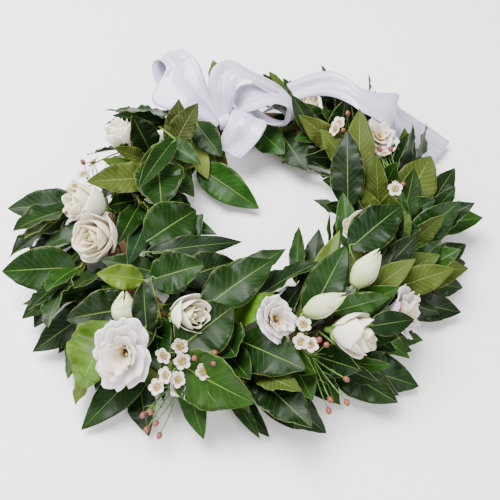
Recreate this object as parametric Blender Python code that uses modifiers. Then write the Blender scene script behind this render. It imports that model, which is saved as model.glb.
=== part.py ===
"""Laurel wreath: bunches of bay leaves bound on a ring of twisted canes, with flowers and a satin bow.

The ring lies flat on a surface.  Each bunch is wired to the top of the ring and its shoots lift off
anticlockwise, seen from above, so that every bunch covers the stems of the next one.
"""
import math
import random

import bmesh
import bpy
from mathutils import Matrix, Vector
from mathutils.bvhtree import BVHTree

MM = 0.001

# ring of canes
RING_RADIUS = 148 * MM
CANE_COUNT = 4
CANE_RADIUS = 5.0 * MM
CANE_OFFSET = 8.2 * MM
CANE_TWISTS = 4
CANE_STATIONS = 32
CORE_RADIUS = CANE_OFFSET + CANE_RADIUS
REST_FLAT = 0.8 * MM
CORE_HEIGHT = CORE_RADIUS - REST_FLAT

# binding wire: distance from the core's axis at each side angle (0 outward, 90 up)
WIRE_RADIUS = 0.45 * MM
WIRE_TURNS = 16
WIRE_TURN = ((90, 0.0, 17.4), (30, 0.2, 16.8), (-42, 0.44, 16.4),
             (-90, 0.5, 11.6), (-138, 0.56, 16.4), (-210, 0.8, 16.8))

# bunches of laurel
BUNCH_SPACING = 360 / WIRE_TURNS
BOW_TURN = 4
STEM_RADIUS = 1.4 * MM
SHOOT_RADIUS = 1.1 * MM
STEM_HEIGHT = 15.0 * MM
LEAF_THICKNESS = 1.3 * MM
LEAF_STATIONS = (0.03, 0.2, 0.46, 0.76)
PLAIN_STATIONS = (0.04, 0.36, 0.74)
LEAF_WAVES = 2.6
PETIOLE_HALF = 0.3 * MM
STALK_LEAST = 4 * MM
ROUTE_END = 0.9
JOIN_ATTEMPTS = 8
JOIN_NUDGE = 0.02 * MM
SEED = 41

# fullness: how far the leaves reach from the core's axis, fullest at the front left
REACH_MEAN = 92 * MM
REACH_SWING = 34 * MM
REACH_PEAK = 215
CLEARANCE = 0.35 * MM
FILL_TOP = 84 * MM
SHOW_TOP = 90 * MM
HOLE_RADIUS = 62 * MM

# ribbon
RIBBON_THICKNESS = 0.8 * MM
BOW_ANGLE = 101

# leaves that show: tip x, y, z from the ring's centre; heading, pitch in degrees; length, width
SHOW_LEAVES = (
    # sweeping out to the left
    (-250, -77, 40, 180, -12, 100, 38), (-262, 8, 30, 176, -14, 95, 31),
    (-214, -48, 38, 210, -5, 62, 18), (-216, -152, 12, 207, -24, 88, 28),
    (-152, -211, 52, 250, -12, 84, 40), (-161, -230, 8, 226, -12, 88, 28),
    (-174, -145, 66, 194, 4, 74, 38), (-227, -112, 34, 194, -4, 84, 16),
    (-228, -122, 22, 200, -14, 84, 20), (-189, -145, 34, 245, -4, 66, 22),
    (-178, -182, 14, 255, -6, 60, 20),
    # left, over the roses' stems
    (-172, 8, 74, 200, 18, 72, 28), (-152, -10, 62, 222, 16, 66, 28),
    (-124, -92, 76, 268, 0, 92, 20), (-134, -66, 70, 262, 4, 76, 20),
    (-160, 40, 72, 186, 24, 66, 20), (-118, -4, 78, 248, 8, 84, 18),
    (-120, 36, 70, 232, 24, 50, 18), (-148, 50, 78, 200, 18, 62, 16),
    (-150, -104, 76, 152, 10, 56, 20), (-150, -80, 64, 172, 12, 54, 20),
    # far left
    (-133, 95, 80, 172, 22, 66, 28), (-156, 108, 66, 188, 22, 64, 20),
    (-158, 98, 60, 196, 16, 62, 18), (-88, 106, 92, 78, 44, 64, 28),
    (-71, 105, 80, 55, 40, 62, 26),
    # into the hole from the left
    (-70, 50, 56, 310, -4, 56, 30), (-94, -22, 66, 276, 8, 72, 44),
    (-60, -20, 62, 40, -2, 96, 44), (-40, -36, 44, 348, -4, 76, 20),
    (-14, -50, 52, 14, -8, 102, 20), (-62, 56, 44, 330, -4, 54, 20),
    (-70, 40, 34, 338, -10, 56, 20), (-50, 48, 24, 295, -20, 56, 20),
    (-40, 55, 24, 304, -20, 56, 18), (-36, 72, 42, 304, -8, 52, 26),
    (-30, 58, 14, 262, -24, 52, 30), (6, 24, 12, 320, -6, 86, 32),
    # front left
    (-50, -98, 82, 36, 10, 84, 34), (-50, -56, 44, 54, -14, 78, 28),
    (16, -82, 68, 36, -4, 102, 36), (30, -56, 48, 34, 2, 88, 26),
    (-19, -196, 78, 312, 8, 80, 44), (34, -196, 76, 324, 6, 100, 48),
    (-4, -222, 60, 322, 6, 88, 34), (-104, -118, 86, 95, 26, 46, 20),
    (-36, -224, 34, 290, -2, 58, 26), (-48, -244, 20, 288, -12, 66, 20),
    (-98, -236, 8, 284, -8, 64, 26), (-74, -218, 28, 304, 2, 58, 24),
    (2, -240, 12, 300, -6, 66, 13), (9, -238, 8, 306, -10, 66, 18),
    (16, -134, 78, 0, 14, 62, 26),
    # front right
    (42, -30, 50, 86, -4, 72, 13), (62, -34, 52, 72, -2, 66, 22),
    (80, -52, 74, 54, 6, 98, 22), (85, -72, 79, 54, 10, 88, 32),
    (152, -61, 80, 48, 16, 78, 26), (178, -70, 58, 30, 10, 68, 24),
    (209, -72, 36, 20, -10, 90, 32), (132, -122, 78, 10, 10, 70, 26),
    (125, -130, 68, 18, 12, 58, 20), (142, -149, 62, 352, 10, 66, 26),
    (128, -174, 52, 354, 2, 62, 20), (141, -171, 38, 320, -4, 54, 18),
    (152, -186, 8, 344, -22, 90, 34), (88, -193, 60, 314, 2, 62, 26),
    (48, -221, 52, 304, 2, 64, 28), (54, -214, 46, 296, 4, 56, 17),
    (64, -234, 10, 308, -12, 74, 30), (28, -212, 40, 310, 0, 56, 24),
    # right and far right
    (110, 100, 84, 90, 30, 80, 27), (94, 68, 86, 90, 32, 82, 30),
    (96, 122, 78, 68, 34, 64, 30), (68, 86, 68, 138, 34, 58, 20),
    (52, 62, 50, 150, 40, 70, 22), (75, 43, 52, 132, 44, 62, 28),
    (70, 42, 36, 160, 30, 52, 22), (72, 8, 38, 152, 38, 56, 24),
    (88, -6, 72, 92, 14, 68, 20), (130, -12, 80, 28, 38, 62, 30),
    (138, -36, 84, 40, 22, 76, 30), (122, 39, 80, 72, 44, 62, 20),
    (147, 39, 68, 36, 36, 52, 20), (169, 94, 56, 64, 14, 66, 26),
    (186, 62, 52, 54, 8, 82, 36), (182, 0, 56, 10, 22, 60, 22),
    (160, -46, 68, 346, 30, 54, 20), (168, -54, 56, 24, 30, 50, 17),
    (26, 146, 76, 128, 50, 52, 14), (36, 130, 74, 134, 44, 56, 18),
    (48, 122, 68, 148, 30, 58, 22), (68, 142, 76, 116, 34, 58, 20),
    (55, 63, 26, 296, 0, 62, 30), (32, 86, 28, 306, 2, 56, 28),
)

# leaves that fill in: side angle round the core and lean from the ring's direction, for each shoot
FILL_SLOTS = {"outer": ((-4, 32), (18, 48), (40, 40)),
              "top": ((68, 52), (104, 46)),
              "inner": ((140, 44), (172, 34))}

# blooms: name, kind, centre x, y, z, facing direction, width, height
BLOOMS = (
    ("rose_far_left", "rose", (-146, 86, 58), (-0.2, 0.45, 0.85), 34, 34),
    ("rose_left_upper", "rose", (-172, -10, 62), (-0.75, -0.3, 0.55), 42, 44),
    ("rose_left_lower", "rose", (-157, -53, 64), (-0.4, -0.6, 0.7), 50, 42),
    ("lisianthus_left", "lisianthus", (-117, -182, 67), (-0.12, -0.6, 0.78), 62, 38),
    ("bud_left", "bud", (-121, -139, 72), (0.1, 0.5, 0.85), 26, 32),
    ("rose_front", "rose", (-63, -151, 79), (0.7, -0.4, 0.6), 38, 36),
    ("lisianthus_front", "lisianthus", (13, -152, 74), (0.4, -0.45, 0.8), 42, 32),
    ("bud_front", "bud", (60, -142, 83), (0.9, 0.25, 0.35), 22, 40),
    ("rose_right", "rose", (86, -165, 70), (0.88, -0.35, 0.3), 42, 40),
    ("bud_right", "bud", (101, -103, 83), (0.6, 0.62, 0.5), 25, 40),
    ("lisianthus_right", "lisianthus", (130, -132, 50), (0.92, -0.12, 0.36), 58, 36),
    ("rose_far", "rose", (58, 134, 50), (0.0, 0.1, 0.98), 30, 28),
    ("lisianthus_far", "lisianthus", (131, 86, 52), (0.1, -0.25, 0.96), 44, 32),
    ("rose_inner_right", "rose", (99, -50, 74), (-0.35, -0.3, 0.9), 32, 32),
)

# waxflower sprigs: ring angle and side where they spring, then flowers and buds as x, y, z ends
SPRIGS = (
    ("waxflower_front_left", 246, 62,
     ((-68, -182, 80), (-82, -190, 77), (-66, -195, 76), (-80, -205, 69), (-69, -208, 67),
      (-48, -202, 70)),
     ((-55, -194, 80), (-38, -190, 82), (-39, -197, 77))),
    ("waxflower_low_left", 250, 8,
     ((-88, -212, 60), (-70, -212, 56), (-59, -216, 52)),
     ((-101, -228, 38), (-94, -226, 40), (-98, -238, 30), (-90, -234, 34), (-87, -242, 26))),
    ("waxflower_front_right", 284, 52,
     ((40, -162, 82), (38, -176, 76), (46, -178, 74)),
     ((54, -174, 76), (60, -178, 74), (78, -200, 52), (79, -216, 38), (64, -214, 40),
      (63, -222, 34))),
    ("waxflower_far_left", 168, 38,
     ((-174, 54, 52), (-182, 38, 50), (-190, 24, 46)),
     ((-184, 54, 50), (-194, 14, 44))),
    ("waxflower_far_right", 40, 88,
     ((88, 92, 70), (84, 84, 70)),
     ((97, 98, 78), (92, 80, 72))),
    ("waxflower_right", 4, 84,
     ((140, 4, 68), (134, 56, 62)),
     ((148, 10, 68), (130, 62, 62), (141, 60, 64))),
)
WAX_FLOWER = 15.0 * MM
WAX_BUD = 4.2 * MM
WAX_STALK = 0.75 * MM
WAX_FORK = 1.7 * MM

# blooms: petals in layers, each ring as radius and height shares, lobes, lobe depth and dip
PROFILES = {
    "rose": (12, 0.93, ((0.15, 0.96, 3, 0.2, 0.02), (0.24, 0.70, 3, 0.1, 0), (0.36, 0.98, 3, 0.12, 0.1),
                        (0.48, 0.66, 3, 0.06, 0), (0.64, 0.93, 5, 0.1, 0.14), (0.72, 0.58, 5, 0.06, 0),
                        (1.0, 0.76, 5, 0.1, 0.2), (0.84, 0.42, 5, 0.08, 0), (0.34, 0.07, 5, 0.05, 0))),
    "lisianthus": (15, 0.52, ((0.10, 0.56, 3, 0.2, 0), (0.17, 0.33, 3, 0.1, 0),
                              (0.38, 0.76, 3, 0.14, 0.2), (0.44, 0.44, 3, 0.08, 0),
                              (0.70, 0.96, 5, 0.12, 0.24), (0.74, 0.62, 5, 0.06, 0),
                              (1.0, 0.88, 5, 0.14, 0.26), (0.62, 0.42, 5, 0.08, 0),
                              (0.2, 0.06, 5, 0.05, 0))),
    "bud": (9, 1.0, ((0.32, 0.97, 3, 0.3, 0.05), (0.84, 0.64, 3, 0.14, 0), (1.0, 0.38, 3, 0.1, 0),
                     (0.74, 0.12, 3, 0.06, 0), (0.36, 0.02, 3, 0.04, 0)))}
CALYX_GAP = 0.35 * MM
CALYX = (6, ((0.44, 0.04, 3, 0.4, 0.0), (0.16, -0.05, 3, 0.3, 0), (0.11, -0.15, 3, 0.0, 0)))

# the bow: each ribbon as rows of its two edges from the knot outward
KNOT = (-23, 114, 40)
KNOT_RADIUS = 9.5
LEFT_LOOP = (((-30, 108, 46), (-22, 120, 46)), ((-60, 108, 66), (-38, 132, 76)),
             ((-104, 124, 74), (-64, 152, 94)), ((-122, 160, 70), (-74, 186, 84)),
             ((-116, 178, 50), (-70, 196, 58)), ((-94, 164, 32), (-60, 174, 34)),
             ((-58, 138, 34), (-38, 146, 38)), ((-28, 116, 40), (-22, 122, 41)))
MIDDLE_LOOP = (((-30, 112, 48), (-18, 112, 48)), ((-44, 138, 76), (-18, 130, 80)),
               ((-46, 168, 84), (-10, 152, 92)), ((-22, 186, 76), (14, 150, 84)),
               ((14, 168, 62), (28, 140, 66)), ((8, 136, 46), (10, 122, 50)),
               ((-18, 120, 42), (-16, 112, 42)))
RIGHT_LOOP = (((-18, 118, 48), (-18, 108, 46)), ((4, 126, 68), (2, 98, 62)),
              ((34, 122, 68), (34, 92, 62)), ((44, 114, 52), (44, 92, 46)),
              ((26, 110, 38), (26, 94, 36)), ((-4, 112, 38), (-6, 102, 36)),
              ((-18, 116, 38), (-18, 108, 37)))
FRONT_TAIL = (((-30, 101, 44), (-16, 102, 44)), ((-40, 86, 50), (2, 90, 52)),
              ((-42, 68, 38), (-2, 72, 40)), ((-42, 54, 22), (-14, 58, 22)))
STREAMER = (((36, 168, 66), (46, 154, 70)), ((54, 194, 78), (68, 168, 80)),
            ((94, 194, 88), (92, 152, 92)), ((132, 176, 84), (112, 138, 90)),
            ((154, 142, 68), (130, 118, 82)), ((162, 116, 34), (140, 102, 52)),
            ((184, 130, 12), (162, 102, 24)), ((216, 150, 6), (190, 104, 8)))
# the tie round the canes: side angle and distance from the core's axis
TIE = ((-38, 18.2), (0, 18.2), (36, 18.4), (70, 20), (100, 21.5), (120, 25.5), (139, 31.2),
       (158, 27), (182, 21), (218, 18.4))
TIE_HALF_WIDTH = 10 * MM
TIE_CREST_SIDE = 139
TIE_CREST = 35
TAIL_START = 5
SEAT_STEP = 0.2
SEAT_STEPS = 40


def unit(*values):
    """A unit vector."""
    return Vector(values).normalized()


def ring_axes(angle):
    """Outward and onward directions at a ring angle in degrees."""
    turn = math.radians(angle)
    return Vector((math.cos(turn), math.sin(turn), 0)), Vector((-math.sin(turn), math.cos(turn), 0))


def side_direction(angle, side):
    """Direction away from the core's axis at a ring angle and a side angle, 0 outward and 90 up."""
    outward, _ = ring_axes(angle)
    turn = math.radians(side)
    return outward * math.cos(turn) + Vector((0, 0, math.sin(turn)))


def core_axis(angle):
    """Point on the core's axis."""
    outward, _ = ring_axes(angle)
    return outward * RING_RADIUS + Vector((0, 0, CORE_HEIGHT))


def ring_point(angle, side, distance):
    """Point at a distance from the core's axis."""
    return core_axis(angle) + side_direction(angle, side) * distance


def ring_angle(point):
    """Ring angle of a point, in degrees."""
    return math.degrees(math.atan2(point.y, point.x)) % 360


def reach_at(angle):
    """How far the leaves reach at a ring angle."""
    return REACH_MEAN + REACH_SWING * math.cos(math.radians(angle - REACH_PEAK))


def new_material(name, colour, roughness):
    """Plain material in the real thing's colour."""
    material = bpy.data.materials.new(name)
    material.use_nodes = True
    shader = material.node_tree.nodes["Principled BSDF"]
    shader.inputs["Base Color"].default_value = (*colour, 1)
    shader.inputs["Roughness"].default_value = roughness
    shader.inputs["Metallic"].default_value = 0.0
    return material


def mesh_object(name, points, faces):
    """Object from points and faces, with its faces turned outward."""
    mesh = bpy.data.meshes.new(name)
    mesh.from_pydata([tuple(point) for point in points], [], faces)
    form = bmesh.new()
    form.from_mesh(mesh)
    bmesh.ops.triangulate(form, faces=[face for face in form.faces if len(face.verts) > 4])
    bmesh.ops.recalc_face_normals(form, faces=form.faces)
    form.to_mesh(mesh)
    form.free()
    return bpy.data.objects.new(name, mesh)


def evaluated_mesh(thing):
    """Mesh of an object with its modifiers or its bevel applied, its doubles welded."""
    bpy.context.scene.collection.objects.link(thing)
    shape = thing.evaluated_get(bpy.context.evaluated_depsgraph_get())
    mesh = bpy.data.meshes.new_from_object(shape)
    bpy.context.scene.collection.objects.unlink(thing)
    form = bmesh.new()
    form.from_mesh(mesh)
    bmesh.ops.remove_doubles(form, verts=form.verts, dist=1e-6)
    bmesh.ops.recalc_face_normals(form, faces=form.faces)
    form.to_mesh(mesh)
    form.free()
    return mesh


def tube(name, points, radius, sides=0, closed=False, taper=1.0):
    """Round stem, cane or wire along points; sides 0 gives four faces round it, 1 gives six."""
    curve = bpy.data.curves.new(name, "CURVE")
    curve.dimensions = "3D"
    curve.bevel_depth = radius
    curve.bevel_resolution = sides
    curve.use_fill_caps = not closed
    spline = curve.splines.new("POLY")
    spline.points.add(len(points) - 1)
    spline.use_cyclic_u = closed
    last = max(len(points) - 1, 1)
    for index, point in enumerate(points):
        spline.points[index].co = (*point, 1)
        spline.points[index].radius = 1 + (taper - 1) * index / last
    path = bpy.data.objects.new(name, curve)
    solid = bpy.data.objects.new(name, evaluated_mesh(path))
    bpy.data.objects.remove(path)
    return solid


def cone(name, base, head, base_radius, head_radius, sides=5):
    """Tapered closed solid between two points."""
    form = bmesh.new()
    bmesh.ops.create_cone(form, cap_ends=True, segments=sides, radius1=base_radius,
                          radius2=head_radius, depth=(head - base).length)
    turn = (head - base).to_track_quat("Z", "Y").to_matrix().to_4x4()
    form.transform(Matrix.Translation((base + head) / 2) @ turn)
    mesh = bpy.data.meshes.new(name)
    form.to_mesh(mesh)
    form.free()
    return bpy.data.objects.new(name, mesh)


def ball(name, centre, radius, stretch, axis, sides=5):
    """Small round body, drawn out along an axis."""
    form = bmesh.new()
    bmesh.ops.create_uvsphere(form, u_segments=sides, v_segments=sides - 1, radius=radius)
    form.transform(Matrix.Diagonal((1, 1, stretch, 1)))
    form.transform(Matrix.Translation(centre) @ axis.to_track_quat("Z", "Y").to_matrix().to_4x4())
    mesh = bpy.data.meshes.new(name)
    form.to_mesh(mesh)
    form.free()
    return bpy.data.objects.new(name, mesh)


def bud_body(name, centre, radius, stretch, axis):
    """Closed waxflower bud, four-sided and pointed at both ends."""
    turn = axis.to_track_quat("Z", "Y").to_matrix()
    points = [Vector((0, 0, -radius * stretch)), Vector((0, 0, radius * stretch))]
    for number in range(4):
        angle = math.pi * number / 2
        points.append(Vector((radius * math.cos(angle), radius * math.sin(angle), 0.2 * radius)))
    faces = []
    for number in range(4):
        a, b = 2 + number, 2 + (number + 1) % 4
        faces += [(0, b, a), (1, a, b)]
    return mesh_object(name, [centre + turn @ point for point in points], faces)


class Clearing:
    """What already stands in the way, so that a new piece can be tested against it."""

    def __init__(self):
        self.taken = []

    def shape_of(self, thing):
        """Search tree and corners of an object."""
        mesh = thing.data
        mesh.calc_loop_triangles()
        points = [vertex.co.copy() for vertex in mesh.vertices]
        faces = [tuple(face.vertices) for face in mesh.loop_triangles]
        low = Vector([min(point[axis] for point in points) for axis in range(3)])
        high = Vector([max(point[axis] for point in points) for axis in range(3)])
        return BVHTree.FromPolygons(points, faces, all_triangles=True), low, high

    def add(self, thing, owner):
        """Keep an object as an obstacle to every other owner."""
        self.taken.append((*self.shape_of(thing), owner))

    def free(self, thing, owner=None):
        """True where an object meets nothing that belongs to another owner."""
        tree, low, high = self.shape_of(thing)
        for other, other_low, other_high, other_owner in self.taken:
            if owner is not None and other_owner == owner:
                continue
            if any(low[i] > other_high[i] or high[i] < other_low[i] for i in range(3)):
                continue
            if tree.overlap(other):
                return False
        return True


def sound(mesh):
    """True where a mesh is one closed body with two faces at each edge."""
    form = bmesh.new()
    form.from_mesh(mesh)
    closed = len(form.verts) > 0 and all(edge.is_manifold for edge in form.edges)
    reached = set()
    waiting = [next(iter(form.verts))] if closed else []
    while waiting:
        vertex = waiting.pop()
        if vertex not in reached:
            reached.add(vertex)
            waiting += [edge.other_vert(vertex) for edge in vertex.link_edges]
    whole = closed and len(reached) == len(form.verts)
    form.free()
    return whole


def united(body, others, solver):
    """Mesh of a body joined with a collection of pieces, in triangles and with no loose corners."""
    union = body.modifiers.new("Join", "BOOLEAN")
    union.operation = "UNION"
    union.operand_type = "COLLECTION"
    union.collection = others
    union.solver = solver
    shape = body.evaluated_get(bpy.context.evaluated_depsgraph_get())
    mesh = bpy.data.meshes.new_from_object(shape)
    body.modifiers.clear()
    form = bmesh.new()
    form.from_mesh(mesh)
    loose = [vertex for vertex in form.verts if not vertex.link_faces]
    bmesh.ops.delete(form, geom=loose, context="VERTS")
    bmesh.ops.triangulate(form, faces=form.faces)
    form.to_mesh(mesh)
    form.free()
    return mesh


def nudge(pieces):
    """Move each piece by a hair, each its own way, so that no edges of two pieces coincide."""
    for number, piece in enumerate(pieces):
        step = side_direction(40 * number, 70 * number) * JOIN_NUDGE
        piece.data.transform(Matrix.Translation(step))


def join(name, pieces, material, collection):
    """One solid from overlapping pieces, by one union on a collection."""
    body = pieces[0]
    collection.objects.link(body)
    if len(pieces) > 1:
        others = bpy.data.collections.new(name + "_pieces")
        bpy.context.scene.collection.children.link(others)
        for piece in pieces[1:]:
            others.objects.link(piece)
        for attempt in range(JOIN_ATTEMPTS):
            mesh = united(body, others, ("MANIFOLD", "EXACT")[attempt % 2])
            if sound(mesh):
                break
            nudge(others.objects)
        body.data = mesh
        for piece in list(others.objects):
            bpy.data.objects.remove(piece)
        bpy.data.collections.remove(others)
    body.name = name
    body.data.materials.clear()
    body.data.materials.append(material)
    return body


def smooth(thing):
    """Shade a round piece smooth."""
    thing.data.shade_smooth()
    thing.data.set_sharp_from_angle(angle=math.radians(40))


def make_canes(parts, material, clearing):
    """Twisted canes, cut flat underneath where they rest."""
    for number in range(CANE_COUNT):
        points = []
        for station in range(CANE_STATIONS):
            angle = 360 * station / CANE_STATIONS
            side = 360 * number / CANE_COUNT + CANE_TWISTS * angle
            points.append(ring_point(angle, side, CANE_OFFSET))
        cane = tube(f"vine_cane_{number + 1}", points, CANE_RADIUS, 1, closed=True)
        form = bmesh.new()
        form.from_mesh(cane.data)
        everything = form.verts[:] + form.edges[:] + form.faces[:]
        bmesh.ops.bisect_plane(form, geom=everything, dist=1e-6, plane_co=(0, 0, 0),
                               plane_no=(0, 0, -1), clear_outer=True)
        bmesh.ops.holes_fill(form, edges=[edge for edge in form.edges if edge.is_boundary])
        bmesh.ops.triangulate(form, faces=form.faces)
        bmesh.ops.recalc_face_normals(form, faces=form.faces)
        form.to_mesh(cane.data)
        form.free()
        cane.name = f"vine_cane_{number + 1}"
        parts.objects.link(cane)
        cane.data.materials.append(material)
        smooth(cane)
        clearing.add(cane, cane.name)


def make_wire(parts, material, clearing):
    """Binding wire, wound round the canes once for each bunch."""
    points = []
    for turn in range(WIRE_TURNS):
        for side, part, distance in WIRE_TURN:
            points.append(ring_point((turn + part) * BUNCH_SPACING, side, distance * MM))
    wire = tube("binding_wire", points, WIRE_RADIUS, 0, closed=True)
    wire.name = "binding_wire"
    parts.objects.link(wire)
    wire.data.materials.append(material)
    smooth(wire)
    clearing.add(wire, wire.name)


def shoot_points(start, kind):
    """Route of one of a bunch's three shoots, from its bound stem."""
    fullness = reach_at(start + 20) / REACH_MEAN
    turns = {"outer": ((2, 90, 15), (9, 62, 21), (18, 40, 31), (26, 26, 42)),
             "top": ((2, 90, 15), (9, 90, 22), (17, 90, 31), (24, 90, 40)),
             "inner": ((2, 90, 15), (9, 116, 21), (18, 136, 29), (26, 150, 37))}[kind]
    points = []
    for onward, side, distance in turns:
        spread = 1 + (fullness - 1) * onward / 26
        points.append(ring_point(start + onward, side, distance * spread * MM))
    return points


def nearest_on_route(points, target, first=1):
    """Closest point to a target on a route, past its first few points."""
    best = points[-2].lerp(points[-1], ROUTE_END)
    for a, b in zip(points[first:-1], points[first + 1:]):
        along = b - a
        part = max(0.0, min(ROUTE_END, (target - a).dot(along) / along.length_squared))
        spot = a + along * part
        if (spot - target).length < (best - target).length:
            best = spot
    return best


def leaf_frame(direction, face, twist):
    """Onward, across and face directions of a leaf at one station."""
    across = face.cross(direction).normalized()
    up = direction.cross(across).normalized()
    turn = Matrix.Rotation(twist, 3, direction)
    return turn @ across, turn @ up


def half_width(part):
    """A bay leaf's half width along its length, as a share of its greatest."""
    return 3.164 * part ** 0.7 * (1 - part)


def leaf(name, spring, root, tip, face, width, style, stations, grow=0.0):
    """Bay leaf on its stalk: a blade of a few stations and a point, thick at its midrib.

    style holds the bend, the fold, the wave's height, its phase and the twist.
    """
    bend, fold, wave, phase, twist = style
    chord = tip - root
    middle = (root + tip) / 2 + face * bend * chord.length
    thick = LEAF_THICKNESS / 2 + grow
    points = []
    onward = (root - spring).normalized()
    across, up = leaf_frame(onward, face, 0)
    stalk = PETIOLE_HALF + grow
    points += [spring + across * stalk, spring + up * stalk, spring - across * stalk,
               spring - up * stalk]
    for part in stations:
        centre = root * (1 - part) ** 2 + middle * 2 * part * (1 - part) + tip * part ** 2
        onward = ((middle - root) * (1 - part) + (tip - middle) * part).normalized()
        across, up = leaf_frame(onward, face, twist * part)
        half = half_width(part) * width / 2 + grow
        ripple = wave * half_width(part)
        left = ripple * math.sin(2 * math.pi * LEAF_WAVES * part + phase)
        right = ripple * math.sin(2 * math.pi * LEAF_WAVES * part + phase + 2.2)
        points += [centre + across * half + up * (fold * half + left),
                   centre + up * thick,
                   centre - across * half + up * (fold * half + right),
                   centre - up * thick]
    points.append(tip + chord.normalized() * grow)
    faces = [(0, 1, 2), (0, 2, 3)]
    for ring in range(len(stations)):
        a, b = 4 * ring, 4 * ring + 4
        faces += [(a, a + 1, b), (a + 1, b + 1, b), (a + 3, a, b), (a + 3, b, b + 3),
                  (a + 1, a + 2, b + 2), (a + 1, b + 2, b + 1),
                  (a + 2, a + 3, b + 2), (a + 3, b + 3, b + 2)]
    last = 4 * len(stations)
    faces += [(last + side, last + (side + 1) % 4, last + 4) for side in range(4)]
    return mesh_object(name, points, faces)


class Bunch:
    """One wired bunch: a bound stem, three shoots and their leaves."""

    def __init__(self, number, start, clearing):
        self.name = f"laurel_bunch_{number:02d}"
        self.routes = {}
        bound = [ring_point(start + onward, 90, STEM_HEIGHT) for onward in (-6, 3)]
        self.pieces = [tube(self.name, bound, STEM_RADIUS, 0)]
        for kind in FILL_SLOTS:
            route = shoot_points(start, kind)
            while not self.route_free(route, clearing) and len(route) > 2:
                route = route[:-1]
            self.routes[kind] = route
            self.pieces.append(tube(self.name + kind, route, SHOOT_RADIUS, 0, taper=0.7))
        for piece in self.pieces:
            clearing.add(piece, self.name)

    def route_free(self, route, clearing):
        """True where a shoot with a margin round it meets no other piece."""
        guard = tube("guard", route, SHOOT_RADIUS + CLEARANCE, 0)
        clear = clearing.free(guard, self.name)
        bpy.data.objects.remove(guard)
        return clear


def style_for(chance, width):
    """Random bend, fold, wave, phase and twist of one leaf."""
    return (chance.uniform(0.02, 0.12), chance.uniform(0.08, 0.3), chance.uniform(0.03, 0.07) * width,
            chance.uniform(0, 2 * math.pi), chance.uniform(-0.4, 0.4))


def try_leaf(clearing, bunch, spring, root, tip, face, width, style, stations):
    """Add a leaf to a bunch where it meets nothing of the other pieces."""
    guard = leaf("guard", spring, root, tip, face, width, style, stations, grow=CLEARANCE)
    blade_start = root + (tip - root) * 0.12
    own = leaf("blade", root, blade_start, tip, face, width, style, stations, grow=0.1 * MM)
    low = min(vertex.co.z for vertex in guard.data.vertices)
    clear = low > 0.5 * MM and clearing.free(guard, bunch.name)
    clear = clear and clearing.free(own, bunch.name + "_stem")
    bpy.data.objects.remove(guard)
    bpy.data.objects.remove(own)
    if not clear:
        return False
    blade = leaf(bunch.name + "_leaf", spring, root, tip, face, width, style, stations)
    bunch.pieces.append(blade)
    return True


def heading_vector(heading, pitch):
    """Direction from a compass heading in plan and a pitch above the level."""
    turn = math.radians(heading)
    rise = math.radians(pitch)
    return Vector((math.cos(turn) * math.cos(rise), math.sin(turn) * math.cos(rise), math.sin(rise)))


def face_for(middle, direction, tilt):
    """Upper face of a leaf: away from the core and up, square to its direction."""
    away = middle - core_axis(ring_angle(middle))
    face = away.normalized() * 0.6 + unit(0, -0.35, 0.9) * 0.6
    face = (face - direction * face.dot(direction)).normalized()
    return Matrix.Rotation(tilt, 3, direction) @ face


def place_show_leaf(clearing, bunches, row, chance):
    """Place one of the leaves that show on the shoot that best carries it."""
    x, y, z, heading, pitch, length, width = row
    for attempt in range(70):
        loose = min(attempt, 30) / 30
        tip = Vector((x, y, z)) * MM + Vector([chance.uniform(-9, 9) * loose * MM for _ in range(3)])
        direction = heading_vector(heading + chance.uniform(-14, 14) * loose,
                                   pitch + chance.uniform(-16, 16) * loose)
        size = 1 - 0.22 * loose * chance.random()
        root = tip - direction * length * size * MM
        face = face_for((root + tip) / 2, direction, chance.uniform(-0.35, 0.35) * (0.4 + loose))
        style = style_for(chance, width * MM)
        if tip.z > SHOW_TOP:
            continue
        choices = []
        for bunch in bunches:
            for route in bunch.routes.values():
                spot = nearest_on_route(route, root)
                forward = (root - spot).dot(direction)
                choices.append(((root - spot).length - 0.3 * forward, bunch, spot))
        choices.sort(key=lambda choice: choice[0])
        for _, bunch, spot in choices[:3]:
            stalk = root - spot
            if stalk.length < STALK_LEAST or stalk.dot(direction) < 0.15 * stalk.length:
                root = spot + direction * STALK_LEAST
            if try_leaf(clearing, bunch, spot, root, tip, face, width * MM * size, style, LEAF_STATIONS):
                return bunch
    return None


def place_fill_leaf(clearing, bunch, kind, slot, side, lean, chance):
    """Place one of the leaves that fill a bunch, by the rule for its shoot."""
    route = bunch.routes[kind]
    for attempt in range(26):
        part = (slot + chance.uniform(0.2, 1.0)) / len(FILL_SLOTS[kind])
        place = 0.4 + part * (len(route) - 1.4)
        index = min(int(place), len(route) - 2)
        spring = route[index].lerp(route[index + 1], min(place - index, ROUTE_END))
        angle = ring_angle(spring)
        away = side_direction(angle, side + chance.uniform(-16, 16))
        _, onward = ring_axes(angle)
        tilt = math.radians(lean + chance.uniform(-14, 14))
        direction = (away * math.cos(tilt) + onward * math.sin(tilt)).normalized()
        fullness = reach_at(angle) / REACH_MEAN
        length = chance.uniform(66, 92) * MM * (0.55 + 0.45 * fullness) * (1 - 0.012 * attempt)
        width = length * chance.uniform(0.3, 0.38)
        root = spring + (direction + away * 0.8).normalized() * 8 * MM
        tip = root + direction * length
        if tip.z > FILL_TOP or tip.to_2d().length < HOLE_RADIUS:
            continue
        face = away * math.sin(tilt) - onward * math.cos(tilt)
        face = Matrix.Rotation(chance.uniform(-0.4, 0.4), 3, direction) @ face.normalized()
        if abs(angle - BOW_ANGLE) < 16 and side > 0:
            continue
        style = style_for(chance, width)
        if try_leaf(clearing, bunch, spring, root, tip, face, width, style, PLAIN_STATIONS):
            return True
    return False


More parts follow.
